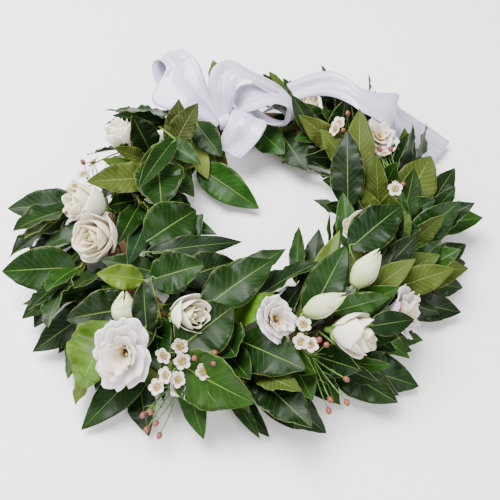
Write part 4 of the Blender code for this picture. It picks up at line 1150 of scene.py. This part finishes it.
@dataclass
class Foliage:
    """All the laurel: the same seeded draws as the frame, kept where the frame has the leaf."""

    palette: Palette
    ribbons: list[Object]

    def lay_last(self, bunches: list[Bunch], root: Vector, tip: Vector, width: float, tone: Tone,
                 seed: int) -> None:
        """Tuck one broad leaf into the bunch nearest its start.

        Args:
            bunches: All bunches.
            root: Start of the blade.
            tip: End of the blade.
            width: Its width.
            tone: How it shows.
            seed: Seed of its shape.
        """
        spots = [(nearest_on_route(route, root), bunch)
                 for bunch in bunches for route in bunch.routes.values()]
        spot, bunch = min(spots, key=lambda choice: (choice[0] - root).length)
        direction = (tip - root).normalized()
        leaf = Leaf(spot, root, tip, face_for((root + tip) / 2, direction, 0.0), width,
                    style_for(random.Random(seed), width), tone, seed)
        leaf.turn_up()
        bunch.leaves.append(leaf)

    def build(self) -> None:
        """Match and make every bunch."""
        turns = [turn for turn in range(WIRE_TURNS) if turn != BOW_TURN]
        bunches = [Bunch(number + 1, turn * BUNCH_SPACING) for number, turn in enumerate(turns)]
        shown = sum(self.match_shown(bunches, row, number) for number, row in enumerate(SHOW_LEAVES))
        filled = 0
        number = FILL_SEED
        for bunch in bunches:
            for kind, slots in FILL_SLOTS.items():
                for slot, (side, lean) in enumerate(slots):
                    number += 1
                    if number not in STRAY_LEAVES:
                        filled += self.match_fill(bunch, kind, slot, side, lean, number)
        LOG.info("leaves matched: %d shown, %d filling in", shown, filled)
        thicket = Thicket(self.ribbons)
        for bunch in bunches:
            bunch.leaves = [leaf for leaf in bunch.leaves if thicket.clear_of_ribbons(leaf)]
        for number, (root, tip, width, tone) in enumerate(LAST_LEAVES):
            self.lay_last(bunches, Vector(root) * MM, Vector(tip) * MM, width * MM, tone,
                          LAST_SEED + number)
        for bunch in bunches:
            for leaf in bunch.leaves:
                thicket.add(leaf)
        under = 0
        for bunch in bunches:
            for slot in range(UNDER_LEAVES):
                under += bunch.add_under_leaf(thicket, slot)
            bunch.build(self.palette)
        LOG.info("leaves underneath: %d", under)

    def match_shown(self, bunches: list[Bunch], row: tuple, number: int) -> bool:
        """Find the draw that the frame kept for a leaf that shows.

        Args:
            bunches: All bunches.
            row: The leaf's row in the list.
            number: Its place in the list.

        Returns:
            True where the frame has the leaf.
        """
        x, y, z, heading, pitch, length, width = row
        chance = random.Random(SEED + number)
        for attempt in range(SHOWN_TRIES):
            loose = min(attempt, 30) / 30
            astray = Vector([chance.uniform(-9, 9) * loose * MM for _ in range(3)])
            tip = Vector((x, y, z)) * MM + astray
            direction = heading_vector(heading + chance.uniform(-14, 14) * loose,
                                       pitch + chance.uniform(-16, 16) * loose)
            size = 1 - 0.22 * loose * chance.random()
            root = tip - direction * length * size * MM
            face = face_for((root + tip) / 2, direction, chance.uniform(-0.35, 0.35) * (0.4 + loose))
            style = style_for(chance, width * MM)
            if tip.z > SHOW_TOP or not any(bunch.holds(tip) for bunch in bunches):
                continue
            found = self.fit_leaf(bunches, root, tip, direction, face, width * MM * size, style)
            if found:
                bunch, leaf = found
                leaf.turn_up()
                leaf.tone = SHOWN_TONES.get(number, OTHER_SHOWN_TONES[number % 3])
                leaf.seed = number
                bunch.leaves.append(leaf)
                return True
        return False

    def fit_leaf(self, bunches: list[Bunch], root: Vector, tip: Vector, direction: Vector, face: Vector,
                 width: float, style: LeafStyle) -> tuple[Bunch, Leaf] | None:
        """Try the shoots that could carry a leaf, nearest first, and keep the one that the frame has.

        Args:
            bunches: All bunches.
            root: Start of the blade.
            tip: End of the blade.
            direction: Its direction.
            face: Its upper face.
            width: Its width.
            style: Its style.

        Returns:
            The bunch and the leaf, or None.
        """
        choices = []
        for bunch in bunches:
            for route in bunch.routes.values():
                spot = nearest_on_route(route, root)
                forward = (root - spot).dot(direction)
                choices.append(((root - spot).length - 0.3 * forward, bunch, spot))
        choices.sort(key=lambda choice: choice[0])
        for _, bunch, spot in choices[:3]:
            stalk = root - spot
            if stalk.length < STALK_LEAST or stalk.dot(direction) < 0.15 * stalk.length:
                root = spot + direction * STALK_LEAST
            leaf = Leaf(spot, root, tip, face, width, style, Tone.DEEP, 0)
            if bunch.holds(tip) and bunch.holds(leaf.crest(CREST_PART, CREST_RISE)):
                return bunch, leaf
        return None

    def match_fill(self, bunch: Bunch, kind: str, slot: int, side: float, lean: float, number: int) -> bool:
        """Find the draw that the frame kept for a leaf that fills in.

        Args:
            bunch: Its bunch.
            kind: Its shoot.
            slot: Its place on the shoot.
            side: Side angle round the core.
            lean: Lean from the ring's direction.
            number: Seed of its draws.

        Returns:
            True where the frame has the leaf.
        """
        chance = random.Random(number)
        route = bunch.routes[kind]
        for attempt in range(FILL_TRIES):
            part = (slot + chance.uniform(0.2, 1.0)) / len(FILL_SLOTS[kind])
            spring = spring_at(route, 0.4 + part * (len(route) - 1.4))
            angle = ring_angle(spring)
            away = side_direction(angle, side + chance.uniform(-16, 16))
            _, onward = ring_axes(angle)
            tilt = math.radians(lean + chance.uniform(-14, 14))
            direction = (away * math.cos(tilt) + onward * math.sin(tilt)).normalized()
            fullness = reach_at(angle) / REACH_MEAN
            length = chance.uniform(66, 92) * MM * (0.55 + 0.45 * fullness) * (1 - TRY_SHRINK * attempt)
            width = length * chance.uniform(0.3, 0.38)
            root = spring + (direction + away * 0.8).normalized() * 8 * MM
            tip = root + direction * length
            if tip.z > FILL_TOP or tip.to_2d().length < HOLE_RADIUS:
                continue
            face = away * math.sin(tilt) - onward * math.cos(tilt)
            face = Matrix.Rotation(chance.uniform(-0.4, 0.4), 3, direction) @ face.normalized()
            if abs(angle - BOW_ANGLE) < 16 and side > 0:
                continue
            style = style_for(chance, width)
            if bunch.holds(tip):
                tone = FILL_TONES[number % len(FILL_TONES)]
                bunch.leaves.append(Leaf(spring, root, tip, face, width, style, tone, number))
                return True
        return False


# canes and wire


@dataclass
class Core:
    """The ring of twisted vine canes and its binding wire."""

    palette: Palette
    stations: int = 288
    sides: int = 14

    def build(self) -> None:
        """Make each cane round and knotty, and dress the wire."""
        for number in range(CANE_COUNT):
            self.build_cane(number)
        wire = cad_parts["binding_wire"]
        wire.data.materials.clear()
        wire.data.materials.append(self.palette.wire)

    def build_cane(self, number: int) -> None:
        """Sweep one cane round the ring, flat where it rests, with nodes and a wandering girth."""
        chance = random.Random(number + CANE_SEED)
        bumps = [(chance.uniform(0, 1), chance.uniform(0.03, 0.09)) for _ in range(9)]
        ripples = [chance.uniform(0, 6.28) for _ in range(3)]
        path = []
        for station in range(self.stations + 1):
            angle = 360 * station / self.stations
            side = 360 * number / CANE_COUNT + CANE_TWISTS * angle
            path.append(ring_point(angle, side, CANE_OFFSET))

        def girth(part: float) -> float:
            size = 0.93 + 0.02 * math.sin(6.283 * 13 * part + ripples[0])
            for spot, height in bumps:
                gap = abs((part - spot + 0.5) % 1 - 0.5)
                size += height * 0.6 * math.exp(-(gap / 0.006) ** 2)
            return size * CANE_RADIUS

        def place(across: float, along: float) -> Vector:
            angle = 360 * along
            outward, _ = ring_axes(angle)
            turn = math.tau * across
            centre = path[round(along * self.stations)]
            flute = 1 + 0.035 * math.sin(5 * turn + ripples[1] + 12 * math.pi * along)
            away = outward * math.cos(turn) + Vector((0, 0, math.sin(turn)))
            point = centre + away * girth(along) * flute
            point.z = max(point.z, 0.0)
            return point

        work = Workpiece(f"vine_cane_skin_{number + 1}", "skin", [self.palette.bark])
        work.add_grid(self.sides, self.stations, place, closed=True)
        work.finish(f"vine_cane_{number + 1}", "vine_bark")


# flowers


class Kind(Enum):
    """Kinds of bloom."""

    ROSE = "rose"
    LISIANTHUS = "lisianthus"
    BUD = "bud"


@dataclass
class Flower:
    """One bloom or bud with its calyx and stem, in the place of its CAD nodes."""

    palette: Palette
    name: str
    kind: Kind
    centre: tuple[float, float, float]
    facing: tuple[float, float, float]
    width: float
    height: float
    number: int

    def __post_init__(self) -> None:
        """Settle the flower's own frame: its base at the origin and its axis upward."""
        self.axis = unit(*self.facing)
        self.base = Vector(self.centre) * MM - self.axis * self.height * 0.5 * MM
        turned = self.axis.to_track_quat("Z", "Y").to_matrix().to_4x4()
        self.frame = Matrix.Translation(self.base) @ turned
        if self.kind is Kind.LISIANTHUS:
            # the bloom is pressed between its neighbours, so that it opens in an oval
            self.frame = self.frame @ Matrix.Diagonal((*OVAL, 1.0, 1.0))
        self.chance = random.Random(self.number + FLOWER_SEED)
        self.girth = self.width * MM / 2
        self.tall = self.height * MM

    def build(self) -> None:
        """Make the petals, the green parts and the stamens."""
        material, add_petals = {Kind.ROSE: (self.palette.rose, self.add_rose),
                                Kind.LISIANTHUS: (self.palette.lisianthus, self.add_lisianthus),
                                Kind.BUD: (self.palette.bud, self.add_bud)}[self.kind]
        work = Workpiece(self.name + "_petals", "petal", [material])
        add_petals(work)
        work.finish(self.name, self.kind.value + "_petal", PETAL_SHEET, 0.0)
        if self.kind is Kind.LISIANTHUS:
            self.build_stamens()
        self.build_green()

    def spot(self, turn: float, radius: float, height: float) -> Vector:
        """Point at a turn round the flower's axis, a distance from it and a height over its base."""
        return self.frame @ Vector((radius * math.cos(turn), radius * math.sin(turn), height))

    def add_petal(self, work: Workpiece, turn: float, spread: float,
                  profile: Callable[[float], tuple[float, float]], tint: tuple, roll: float, frill: float,
                  notch: float = 0.2, fine: float = 1.0) -> None:
        """Add one petal from a profile turned part of the way round the flower's axis.

        Args:
            work: The piece.
            turn: Where the petal's middle is, in radians.
            spread: Half its width round the axis, in radians.
            profile: Radius and height along the petal, from its foot to its tip.
            tint: Linear colour.
            roll: How far its edge rolls outward, as a share of the radius.
            frill: Height of the waves along its edge.
            notch: How much shorter it is at its sides.
            fine: How much closer its waves stand.
        """
        phase = self.chance.uniform(0, 6.28)
        wander = self.chance.uniform(-0.06, 0.06)

        def place(across: float, along: float) -> Vector:
            share = 2 * across - 1
            reach = along * (1 - notch * abs(share) ** 2.6)
            radius, height = profile(reach)
            wide = spread * math.sin(math.pi * min(0.12 + 0.72 * along, 0.74)) ** 0.8
            angle = turn + share * wide + wander * along
            edge = smooth_step((reach - 0.55) / 0.45)
            radius += self.girth * roll * edge * (0.5 + 0.5 * share * share)
            height -= self.tall * roll * 0.8 * edge * abs(share) ** 2
            wave = frill * edge * math.sin(4.5 * share * fine + phase)
            wave += 0.4 * frill * edge * math.sin(9.5 * share * fine + 2 * phase)
            wave += 0.07 * edge * math.sin(2.6 * share + phase)
            radius += wave * self.girth * 0.5
            height += wave * self.tall * 0.6
            return self.spot(angle, radius, height)

        work.add_grid(PETAL_COLUMNS, PETAL_ROWS, place, tint)

    def petal_tint(self, inner: str, outer: str, share: float) -> tuple:
        """Colour of a petal between the heart's and the rim's, a little uneven."""
        colour = Vector(linear(inner)[:3]).lerp(Vector(linear(outer)[:3]), share)
        colour = colour * self.chance.uniform(0.94, 1.03)
        return (*[min(part, 0.95) for part in colour], 1.0)

    def add_rose(self, work: Workpiece) -> None:
        """Spiral of petals, wrapped tight at the heart and rolled open at the rim."""
        for number in range(ROSE_PETALS):
            open_share = number / (ROSE_PETALS - 1)
            rim = self.girth * (0.13 + 0.8 * open_share ** 0.9)
            top = self.tall * (0.94 + 0.06 * math.sin(3.1 * open_share) - 0.2 * open_share ** 2)

            def profile(part: float, rim: float = rim, top: float = top, opened: float = open_share):
                belly = rim * (0.2 + 0.8 * math.sin(math.pi * 0.5 * min(part * 1.25, 1.0)))
                belly -= rim * 0.12 * (1 - opened) * part ** 2
                return belly, top * part ** (0.8 + 0.35 * opened)

            tint = self.petal_tint("#e6d9b2", "#ebe3d2", open_share)
            turn = number * GOLDEN_TURN + self.chance.uniform(-0.2, 0.2)
            self.add_petal(work, turn, 1.5 - 0.4 * open_share, profile, tint, 0.03 + 0.09 * open_share,
                           0.012 + 0.04 * open_share)

    def add_lisianthus(self, work: Workpiece) -> None:
        """Wide ruffled petals in four whorls round a long open throat."""
        for whorl, (count, rim_share, top_share, spread) in enumerate(WHORLS):
            for number in range(count):
                turn = math.tau * number / count + 0.9 * whorl + self.chance.uniform(-0.25, 0.25)
                rim = self.girth * rim_share * self.chance.uniform(0.9, 1.03)
                top = self.tall * top_share * self.chance.uniform(0.88, 1.06)

                def profile(part: float, rim: float = rim, top: float = top):
                    return rim * (0.1 + 0.9 * part ** 1.15), top * (0.15 + 0.85 * math.sin(1.45 * part))

                tint = self.petal_tint("#d3c3a8", "#dfd5df", whorl / 3)
                self.add_petal(work, turn, spread, profile, tint, 0.06, 0.09, fine=2.2)

    def add_bud(self, work: Workpiece) -> None:
        """Closed petals twisted round each other to a blunt tip."""
        for number in range(BUD_PETALS):
            open_share = number / (BUD_PETALS - 1)
            rim = self.girth * (0.8 + 0.18 * open_share)
            top = self.tall * (1.0 - 0.16 * open_share)

            def profile(part: float, rim: float = rim, top: float = top):
                return rim * math.sin(math.pi * (0.1 + 0.87 * part ** 1.05)) ** 0.8, top * part

            tint = self.petal_tint("#cdd49a", "#dcdfb8", open_share)
            self.add_petal(work, number * GOLDEN_TURN, 1.1, profile, tint, 0.01, 0.01, notch=0.22)

    def build_stamens(self) -> None:
        """Make the cone of stamens in a lisianthus's throat."""
        work = Workpiece(self.name + "_stamens", "skin", [self.palette.green, self.palette.stamen])
        for number in range(STAMENS):
            turn = number * GOLDEN_TURN
            lean = (0.1 + 0.05 * number) * self.girth
            path = [self.spot(turn, lean * part, self.tall * (0.66 * part + 0.2 * (1 - part)))
                    for part in (0.2, 0.5, 0.8, 1.0)]
            work.add_tube(path, lambda part: 0.4 * MM, 5)
            axis = (path[-1] - path[-2]).normalized()
            head = [path[-1] + axis * step * MM for step in (-0.5, 0.3, 1.2, 2.4, 3.0)]
            work.add_tube(head, lambda part: 1.9 * MM * math.sin(math.pi * (0.15 + 0.7 * part)), 6,
                          slot=1)
        work.finish(self.name, "lisianthus_petal")

    def build_green(self) -> None:
        """Make the sepals, the cup and the stem."""
        work = Workpiece(self.name + "_green", "skin", [self.palette.green])
        cup = 0.15 * self.width * MM
        drop = [self.frame @ Vector((0, 0, -height * cup)) for height in (0.0, 0.25, 0.6, 1.0, 1.3)]
        work.add_tube(drop, lambda part: cup * (0.75 - 0.45 * part), 10)
        for number in range(SEPALS):
            turn = math.tau * number / SEPALS + 0.4
            points = []
            for part in (0.0, 0.3, 0.6, 0.85, 1.0):
                radius = self.girth * (0.12 + 0.42 * math.sin(1.5 * part))
                height = self.tall * (0.02 + 0.14 * part ** 1.6) - 0.6 * MM
                points.append(self.spot(turn, radius, height))
            work.add_tube(smooth_path(points, 2),
                          lambda part: 0.085 * self.girth * (1 - part) ** 0.6 + 0.2 * MM, 6)
        work.add_tube(self.stem_route(), lambda part: FLOWER_STEM_RADIUS, 8)
        work.finish(self.name + "_stem", "flower_stem")

    def stem_route(self) -> list[Vector]:
        """Read the stem's line from its node: the lowest ring of corners is its foot on the canes."""
        points, _ = mesh_shape(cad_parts[self.name + "_stem"].data)
        start = self.base - self.axis * 0.14 * self.width * MM
        foot = min(points, key=lambda point: (point - core_axis(ring_angle(point))).length)
        near = [point for point in points if (point - foot).length < 2.6 * MM]
        end = sum(near, Vector()) / len(near)
        rings = [point for point in points
                 if (point - start).length > 4 * MM and (point - end).length > 3 * MM]
        route = [start]
        while rings:
            seed = min(rings, key=lambda point: (point - route[-1]).length)
            group = [point for point in rings if (point - seed).length < 3.2 * MM]
            rings = [point for point in rings if (point - seed).length >= 3.2 * MM]
            middle = sum(group, Vector()) / len(group)
            if len(group) >= 4 and (middle - start).dot(end - start) > 0:
                route.append(middle)
        route.append(end)
        return smooth_path(route, 5)


@dataclass
class WaxSprig:
    """Sprig of waxflower: open florets, buds and needle leaves on thin forked stalks."""

    palette: Palette
    name: str
    angle: float
    side: float
    flowers: tuple
    buds: tuple
    number: int

    def build(self) -> None:
        """Make the whole sprig as one piece."""
        chance = random.Random(self.number + WAX_SEED)
        work = Workpiece(self.name + "_petals", "petal", [self.palette.wax_petal])
        hearts = Workpiece(self.name + "_hearts", "skin", [self.palette.wax_cup, self.palette.wax_bud])
        green = Workpiece(self.name + "_stalks", "skin", [self.palette.green, self.palette.shoot])
        ends = [Vector(point) * MM for point in (*self.flowers, *self.buds)]
        middle = sum(ends, Vector()) / len(ends)
        spring = ring_point(self.angle, self.side, CORE_RADIUS + 4 * MM)
        fork = middle.lerp(spring, 0.45)
        green.add_tube(smooth_path([spring, spring.lerp(fork, 0.5) + Vector((0, 0, 2 * MM)), fork], 4),
                       lambda part: WAX_STEM_RADIUS, 7, slot=1)
        for number, end in enumerate(ends):
            axis = ((end - fork).normalized() + unit(0, -0.5, 0.8) * 0.9).normalized()
            opening = number < len(self.flowers)
            if opening:
                wander = Vector([chance.uniform(-1, 1) for _ in range(3)])
                axis = (axis + wander * 0.45).normalized()
            foot = end - axis * (0.25 * WAX_FLOWER if opening else WAX_BUD * 0.5)
            sag = fork.lerp(foot, 0.55) - axis * 1.5 * MM
            sag += Vector([chance.uniform(-2.5, 2.5) * MM for _ in range(3)])
            green.add_tube(smooth_path([fork, sag, foot], 4), lambda part: WAX_STALK, 6)
            if opening:
                self.add_floret(work, hearts, end, axis, chance)
            else:
                path = [foot + axis * step * WAX_BUD for step in (0, 0.15, 0.45, 0.85, 1.2, 1.35)]
                hearts.add_tube(path, lambda part: WAX_BUD * 0.52 * math.sin(math.pi * (0.12 + 0.76 * part)),
                                8, slot=1)
        for number in range(NEEDLES):
            target = ends[number % len(ends)]
            base = fork.lerp(target, chance.uniform(0.15, 0.75))
            wander = unit(*[chance.uniform(-1, 1) for _ in range(3)])
            way = ((target - fork).normalized() + wander * 0.7).normalized()
            tip = base + way * chance.uniform(9, 15) * MM
            bow = base.lerp(tip, 0.5) + unit(0, 0, 1) * 0.8 * MM
            green.add_tube(smooth_path([base, bow, tip], 3), lambda part: 0.5 * MM * (1.1 - part), 5)
        work.finish(self.name, "waxflower", WAX_SHEET, 0.0)
        for piece in (hearts, green):
            piece.finish(self.name, "waxflower")

    def add_floret(self, work: Workpiece, hearts: Workpiece, end: Vector, axis: Vector,
                   chance: random.Random) -> None:
        """Add an open floret: five round petals and a wide cup.

        Args:
            work: The piece that takes the petals.
            hearts: The piece that takes the cup.
            end: Middle of the floret.
            axis: Where it faces.
            chance: Seeded draws.
        """
        turn = axis.to_track_quat("Z", "Y").to_matrix()
        spin = chance.uniform(0, 1.2)
        tint = (*Vector(linear("#dfcac4")[:3]) * chance.uniform(0.93, 1.0), 1.0)
        for number in range(WAX_PETALS):
            angle = spin + math.tau * number / WAX_PETALS
            middle = Vector((math.cos(angle), math.sin(angle), 0)) * WAX_FLOWER * 0.32
            outward = middle.normalized()
            sideways = Vector((-outward.y, outward.x, 0))

            def place(across: float, along: float) -> Vector:
                share = 2 * across - 1
                length = 2 * along - 1
                wide = math.sqrt(max(0.0, 1 - length * length)) * 0.22 * WAX_FLOWER
                dish = 0.07 * WAX_FLOWER * (share * share + along * along)
                return end + turn @ (middle + outward * length * 0.2 * WAX_FLOWER + sideways * share * wide
                                     + Vector((0, 0, dish)))

            work.add_grid(5, 6, place, tint, welded=True)
        cup = [end + axis * height * WAX_FLOWER for height, _ in WAX_CUP]
        hearts.add_tube(cup, lambda part: WAX_FLOWER * WAX_CUP[round(part * (len(WAX_CUP) - 1))][1], 12)


# the bow


@dataclass
class Ribbon:
    """One length of satin ribbon, smoothed from its rows, with soft pleats from the knot."""

    palette: Palette
    name: str
    node: str
    rows: tuple
    flat: tuple[float, float]
    held: str
    rests_on: tuple[str, ...]
    pleats: float = 2.0
    steps: int = 12
    columns: int = 20

    def build(self) -> Object:
        left = smooth_path([Vector(row[0]) * MM for row in self.rows], self.steps)
        right = smooth_path([Vector(row[1]) * MM for row in self.rows], self.steps)
        last = len(left) - 1

        def place(across: float, along: float) -> Vector:
            index = round(along * last)
            a, b = left[index], right[index]
            ahead = (left[min(index + 1, last)] + right[min(index + 1, last)]) / 2
            behind = (left[max(index - 1, 0)] + right[max(index - 1, 0)]) / 2
            normal = (b - a).cross(ahead - behind).normalized()
            pinch = max(0.0, 1 - (b - a).length / (46 * MM))
            fold = self.pleats * MM * (0.75 + 1.3 * pinch) * math.sin(across * 8.5 + 4 * along)
            bow = 1.6 * MM * math.sin(math.pi * across) * math.sin(9 * along + 1)
            return a.lerp(b, across) + normal * (fold * math.sin(math.pi * across) + bow)

        work = Workpiece(self.name, "ribbon", [self.palette.satin])
        work.add_grid(self.columns, last, place)
        piece = work.finish(self.node, "white_satin", SATIN_SHEET, 0.0)
        list(self.rests_on)
        return piece


@dataclass
class Bow:
    """The satin bow: three loops, a knot, a tail, a streamer and the band round the canes."""

    palette: Palette

    def build(self) -> list[Object]:
        """Make every ribbon of the bow; all but the band are handed on as obstacles for the leaves."""
        pieces = [self.build_knot()]
        for name, node, rows, length, held, rests_on in RIBBONS:
            ribbon = Ribbon(self.palette, name, node, rows, (RIBBON_WIDTH, length), held, rests_on)
            pieces.append(ribbon.build())
        self.build_band()
        return pieces

    def build_knot(self) -> Object:
        """Wrap the gathered middle of the bow, a short pleated band round the loops' feet."""
        centre = Vector(KNOT) * MM
        axis = unit(0.93, 0.2, 0.1)
        up = unit(0, -0.5, 0.8)
        side = axis.cross(up).normalized()
        up = side.cross(axis).normalized()

        def place(across: float, along: float) -> Vector:
            turn = math.tau * along
            share = 2 * across - 1
            size = KNOT_RADIUS * MM * (1 - 0.16 * share * share + 0.045 * math.sin(across * 22 + turn))
            squash = 0.86 + 0.14 * abs(math.cos(turn))
            away = up * math.cos(turn) + side * math.sin(turn)
            return centre + axis * share * KNOT_REACH * MM + away * size * squash

        work = Workpiece("ribbon_knot", "ribbon", [self.palette.satin])
        work.add_grid(14, 40, place, welded=True)
        piece = work.finish("bow_loops", "white_satin", SATIN_SHEET, 0.0)
        return piece


    def build_band(self) -> None:
        """Give the band round the canes a satin sheet of its own."""
        rows = []
        for side, distance in TIE:
            middle = ring_point(BOW_ANGLE, side, distance * MM)
            across = ring_axes(BOW_ANGLE)[1] * TIE_HALF_WIDTH
            rows.append((tuple((middle - across) / MM), tuple((middle + across) / MM)))
        Ribbon(self.palette, "ribbon_band", "bow_tie", tuple(rows), (0.02, 0.115), "gathered",
               ("vine_cane_skin_1",), pleats=0.0, steps=6, columns=10).build()


# stage


@dataclass
class Studio:
    """Plain pale floor, soft light and the photograph's camera."""

    def build(self) -> None:
        """Place the floor, lights and camera."""
        form = bmesh.new()
        bmesh.ops.create_grid(form, x_segments=1, y_segments=1, size=3.0)
        mesh = bpy.data.meshes.new("floor")
        form.to_mesh(mesh)
        form.free()
        floor = bpy.data.objects.new("floor", mesh)
        bpy.context.scene.collection.objects.link(floor)
        material, _ = new_shader("matt white studio paper", Base_Color=linear("#f4f4f4"), Roughness=0.9)
        mesh.materials.append(material)
        for name, place, size, power in LIGHTS:
            self.add_light(name, place, size, power)
        world = bpy.data.worlds.new("studio_air")
        world.use_nodes = True
        air = world.node_tree.nodes["Background"]
        air.inputs["Color"].default_value = (1.0, 0.99, 0.97, 1.0)
        air.inputs["Strength"].default_value = 0.5
        bpy.context.scene.world = world
        self.add_camera()

    def add_light(self, name: str, place: tuple[float, float, float], size: float, power: float) -> None:
        """Add one soft square light that faces the wreath.

        Args:
            name: Its name.
            place: Its place in metres from the ring's middle.
            size: Its side in metres.
            power: Its power in watts.
        """
        data = bpy.data.lights.new(name, "AREA")
        data.size = size
        data.energy = power
        lamp = bpy.data.objects.new(name, data)
        lamp.location = Vector(place) + SHIFT
        lamp.rotation_euler = (Vector((0, 0, 0.03)) - Vector(place)).to_track_quat("-Z", "Y").to_euler()
        bpy.context.scene.collection.objects.link(lamp)

    def add_camera(self) -> None:
        """Place the camera as the photograph was taken."""
        data = bpy.data.cameras.new("photo_camera")
        data.lens = CAMERA_LENS
        data.sensor_width = 36.0
        data.sensor_fit = "HORIZONTAL"
        data.clip_end = 20.0
        camera = bpy.data.objects.new("photo_camera", data)
        place = Vector(CAMERA_PLACE) * MM
        camera.location = place + SHIFT
        camera.rotation_euler = (Vector(CAMERA_AIM) * MM - place).to_track_quat("-Z", "Y").to_euler()
        bpy.context.scene.collection.objects.link(camera)
        bpy.context.scene.camera = camera


def main() -> None:
    """Build the dressed wreath piece by piece."""
    logging.basicConfig(level=logging.INFO, format="%(message)s")
    Studio().build()
    palette = Palette()
    Core(palette).build()
    ribbons = Bow(palette).build()
    Foliage(palette, ribbons).build()
    for number, (name, kind, centre, facing, width, height) in enumerate(BLOOMS):
        Flower(palette, name, Kind(kind), centre, facing, width, height, number).build()
    for number, (name, angle, side, flowers, buds) in enumerate(SPRIGS):
        WaxSprig(palette, name, angle, side, flowers, buds, number).build()


if __name__ == "__main__":
    main()
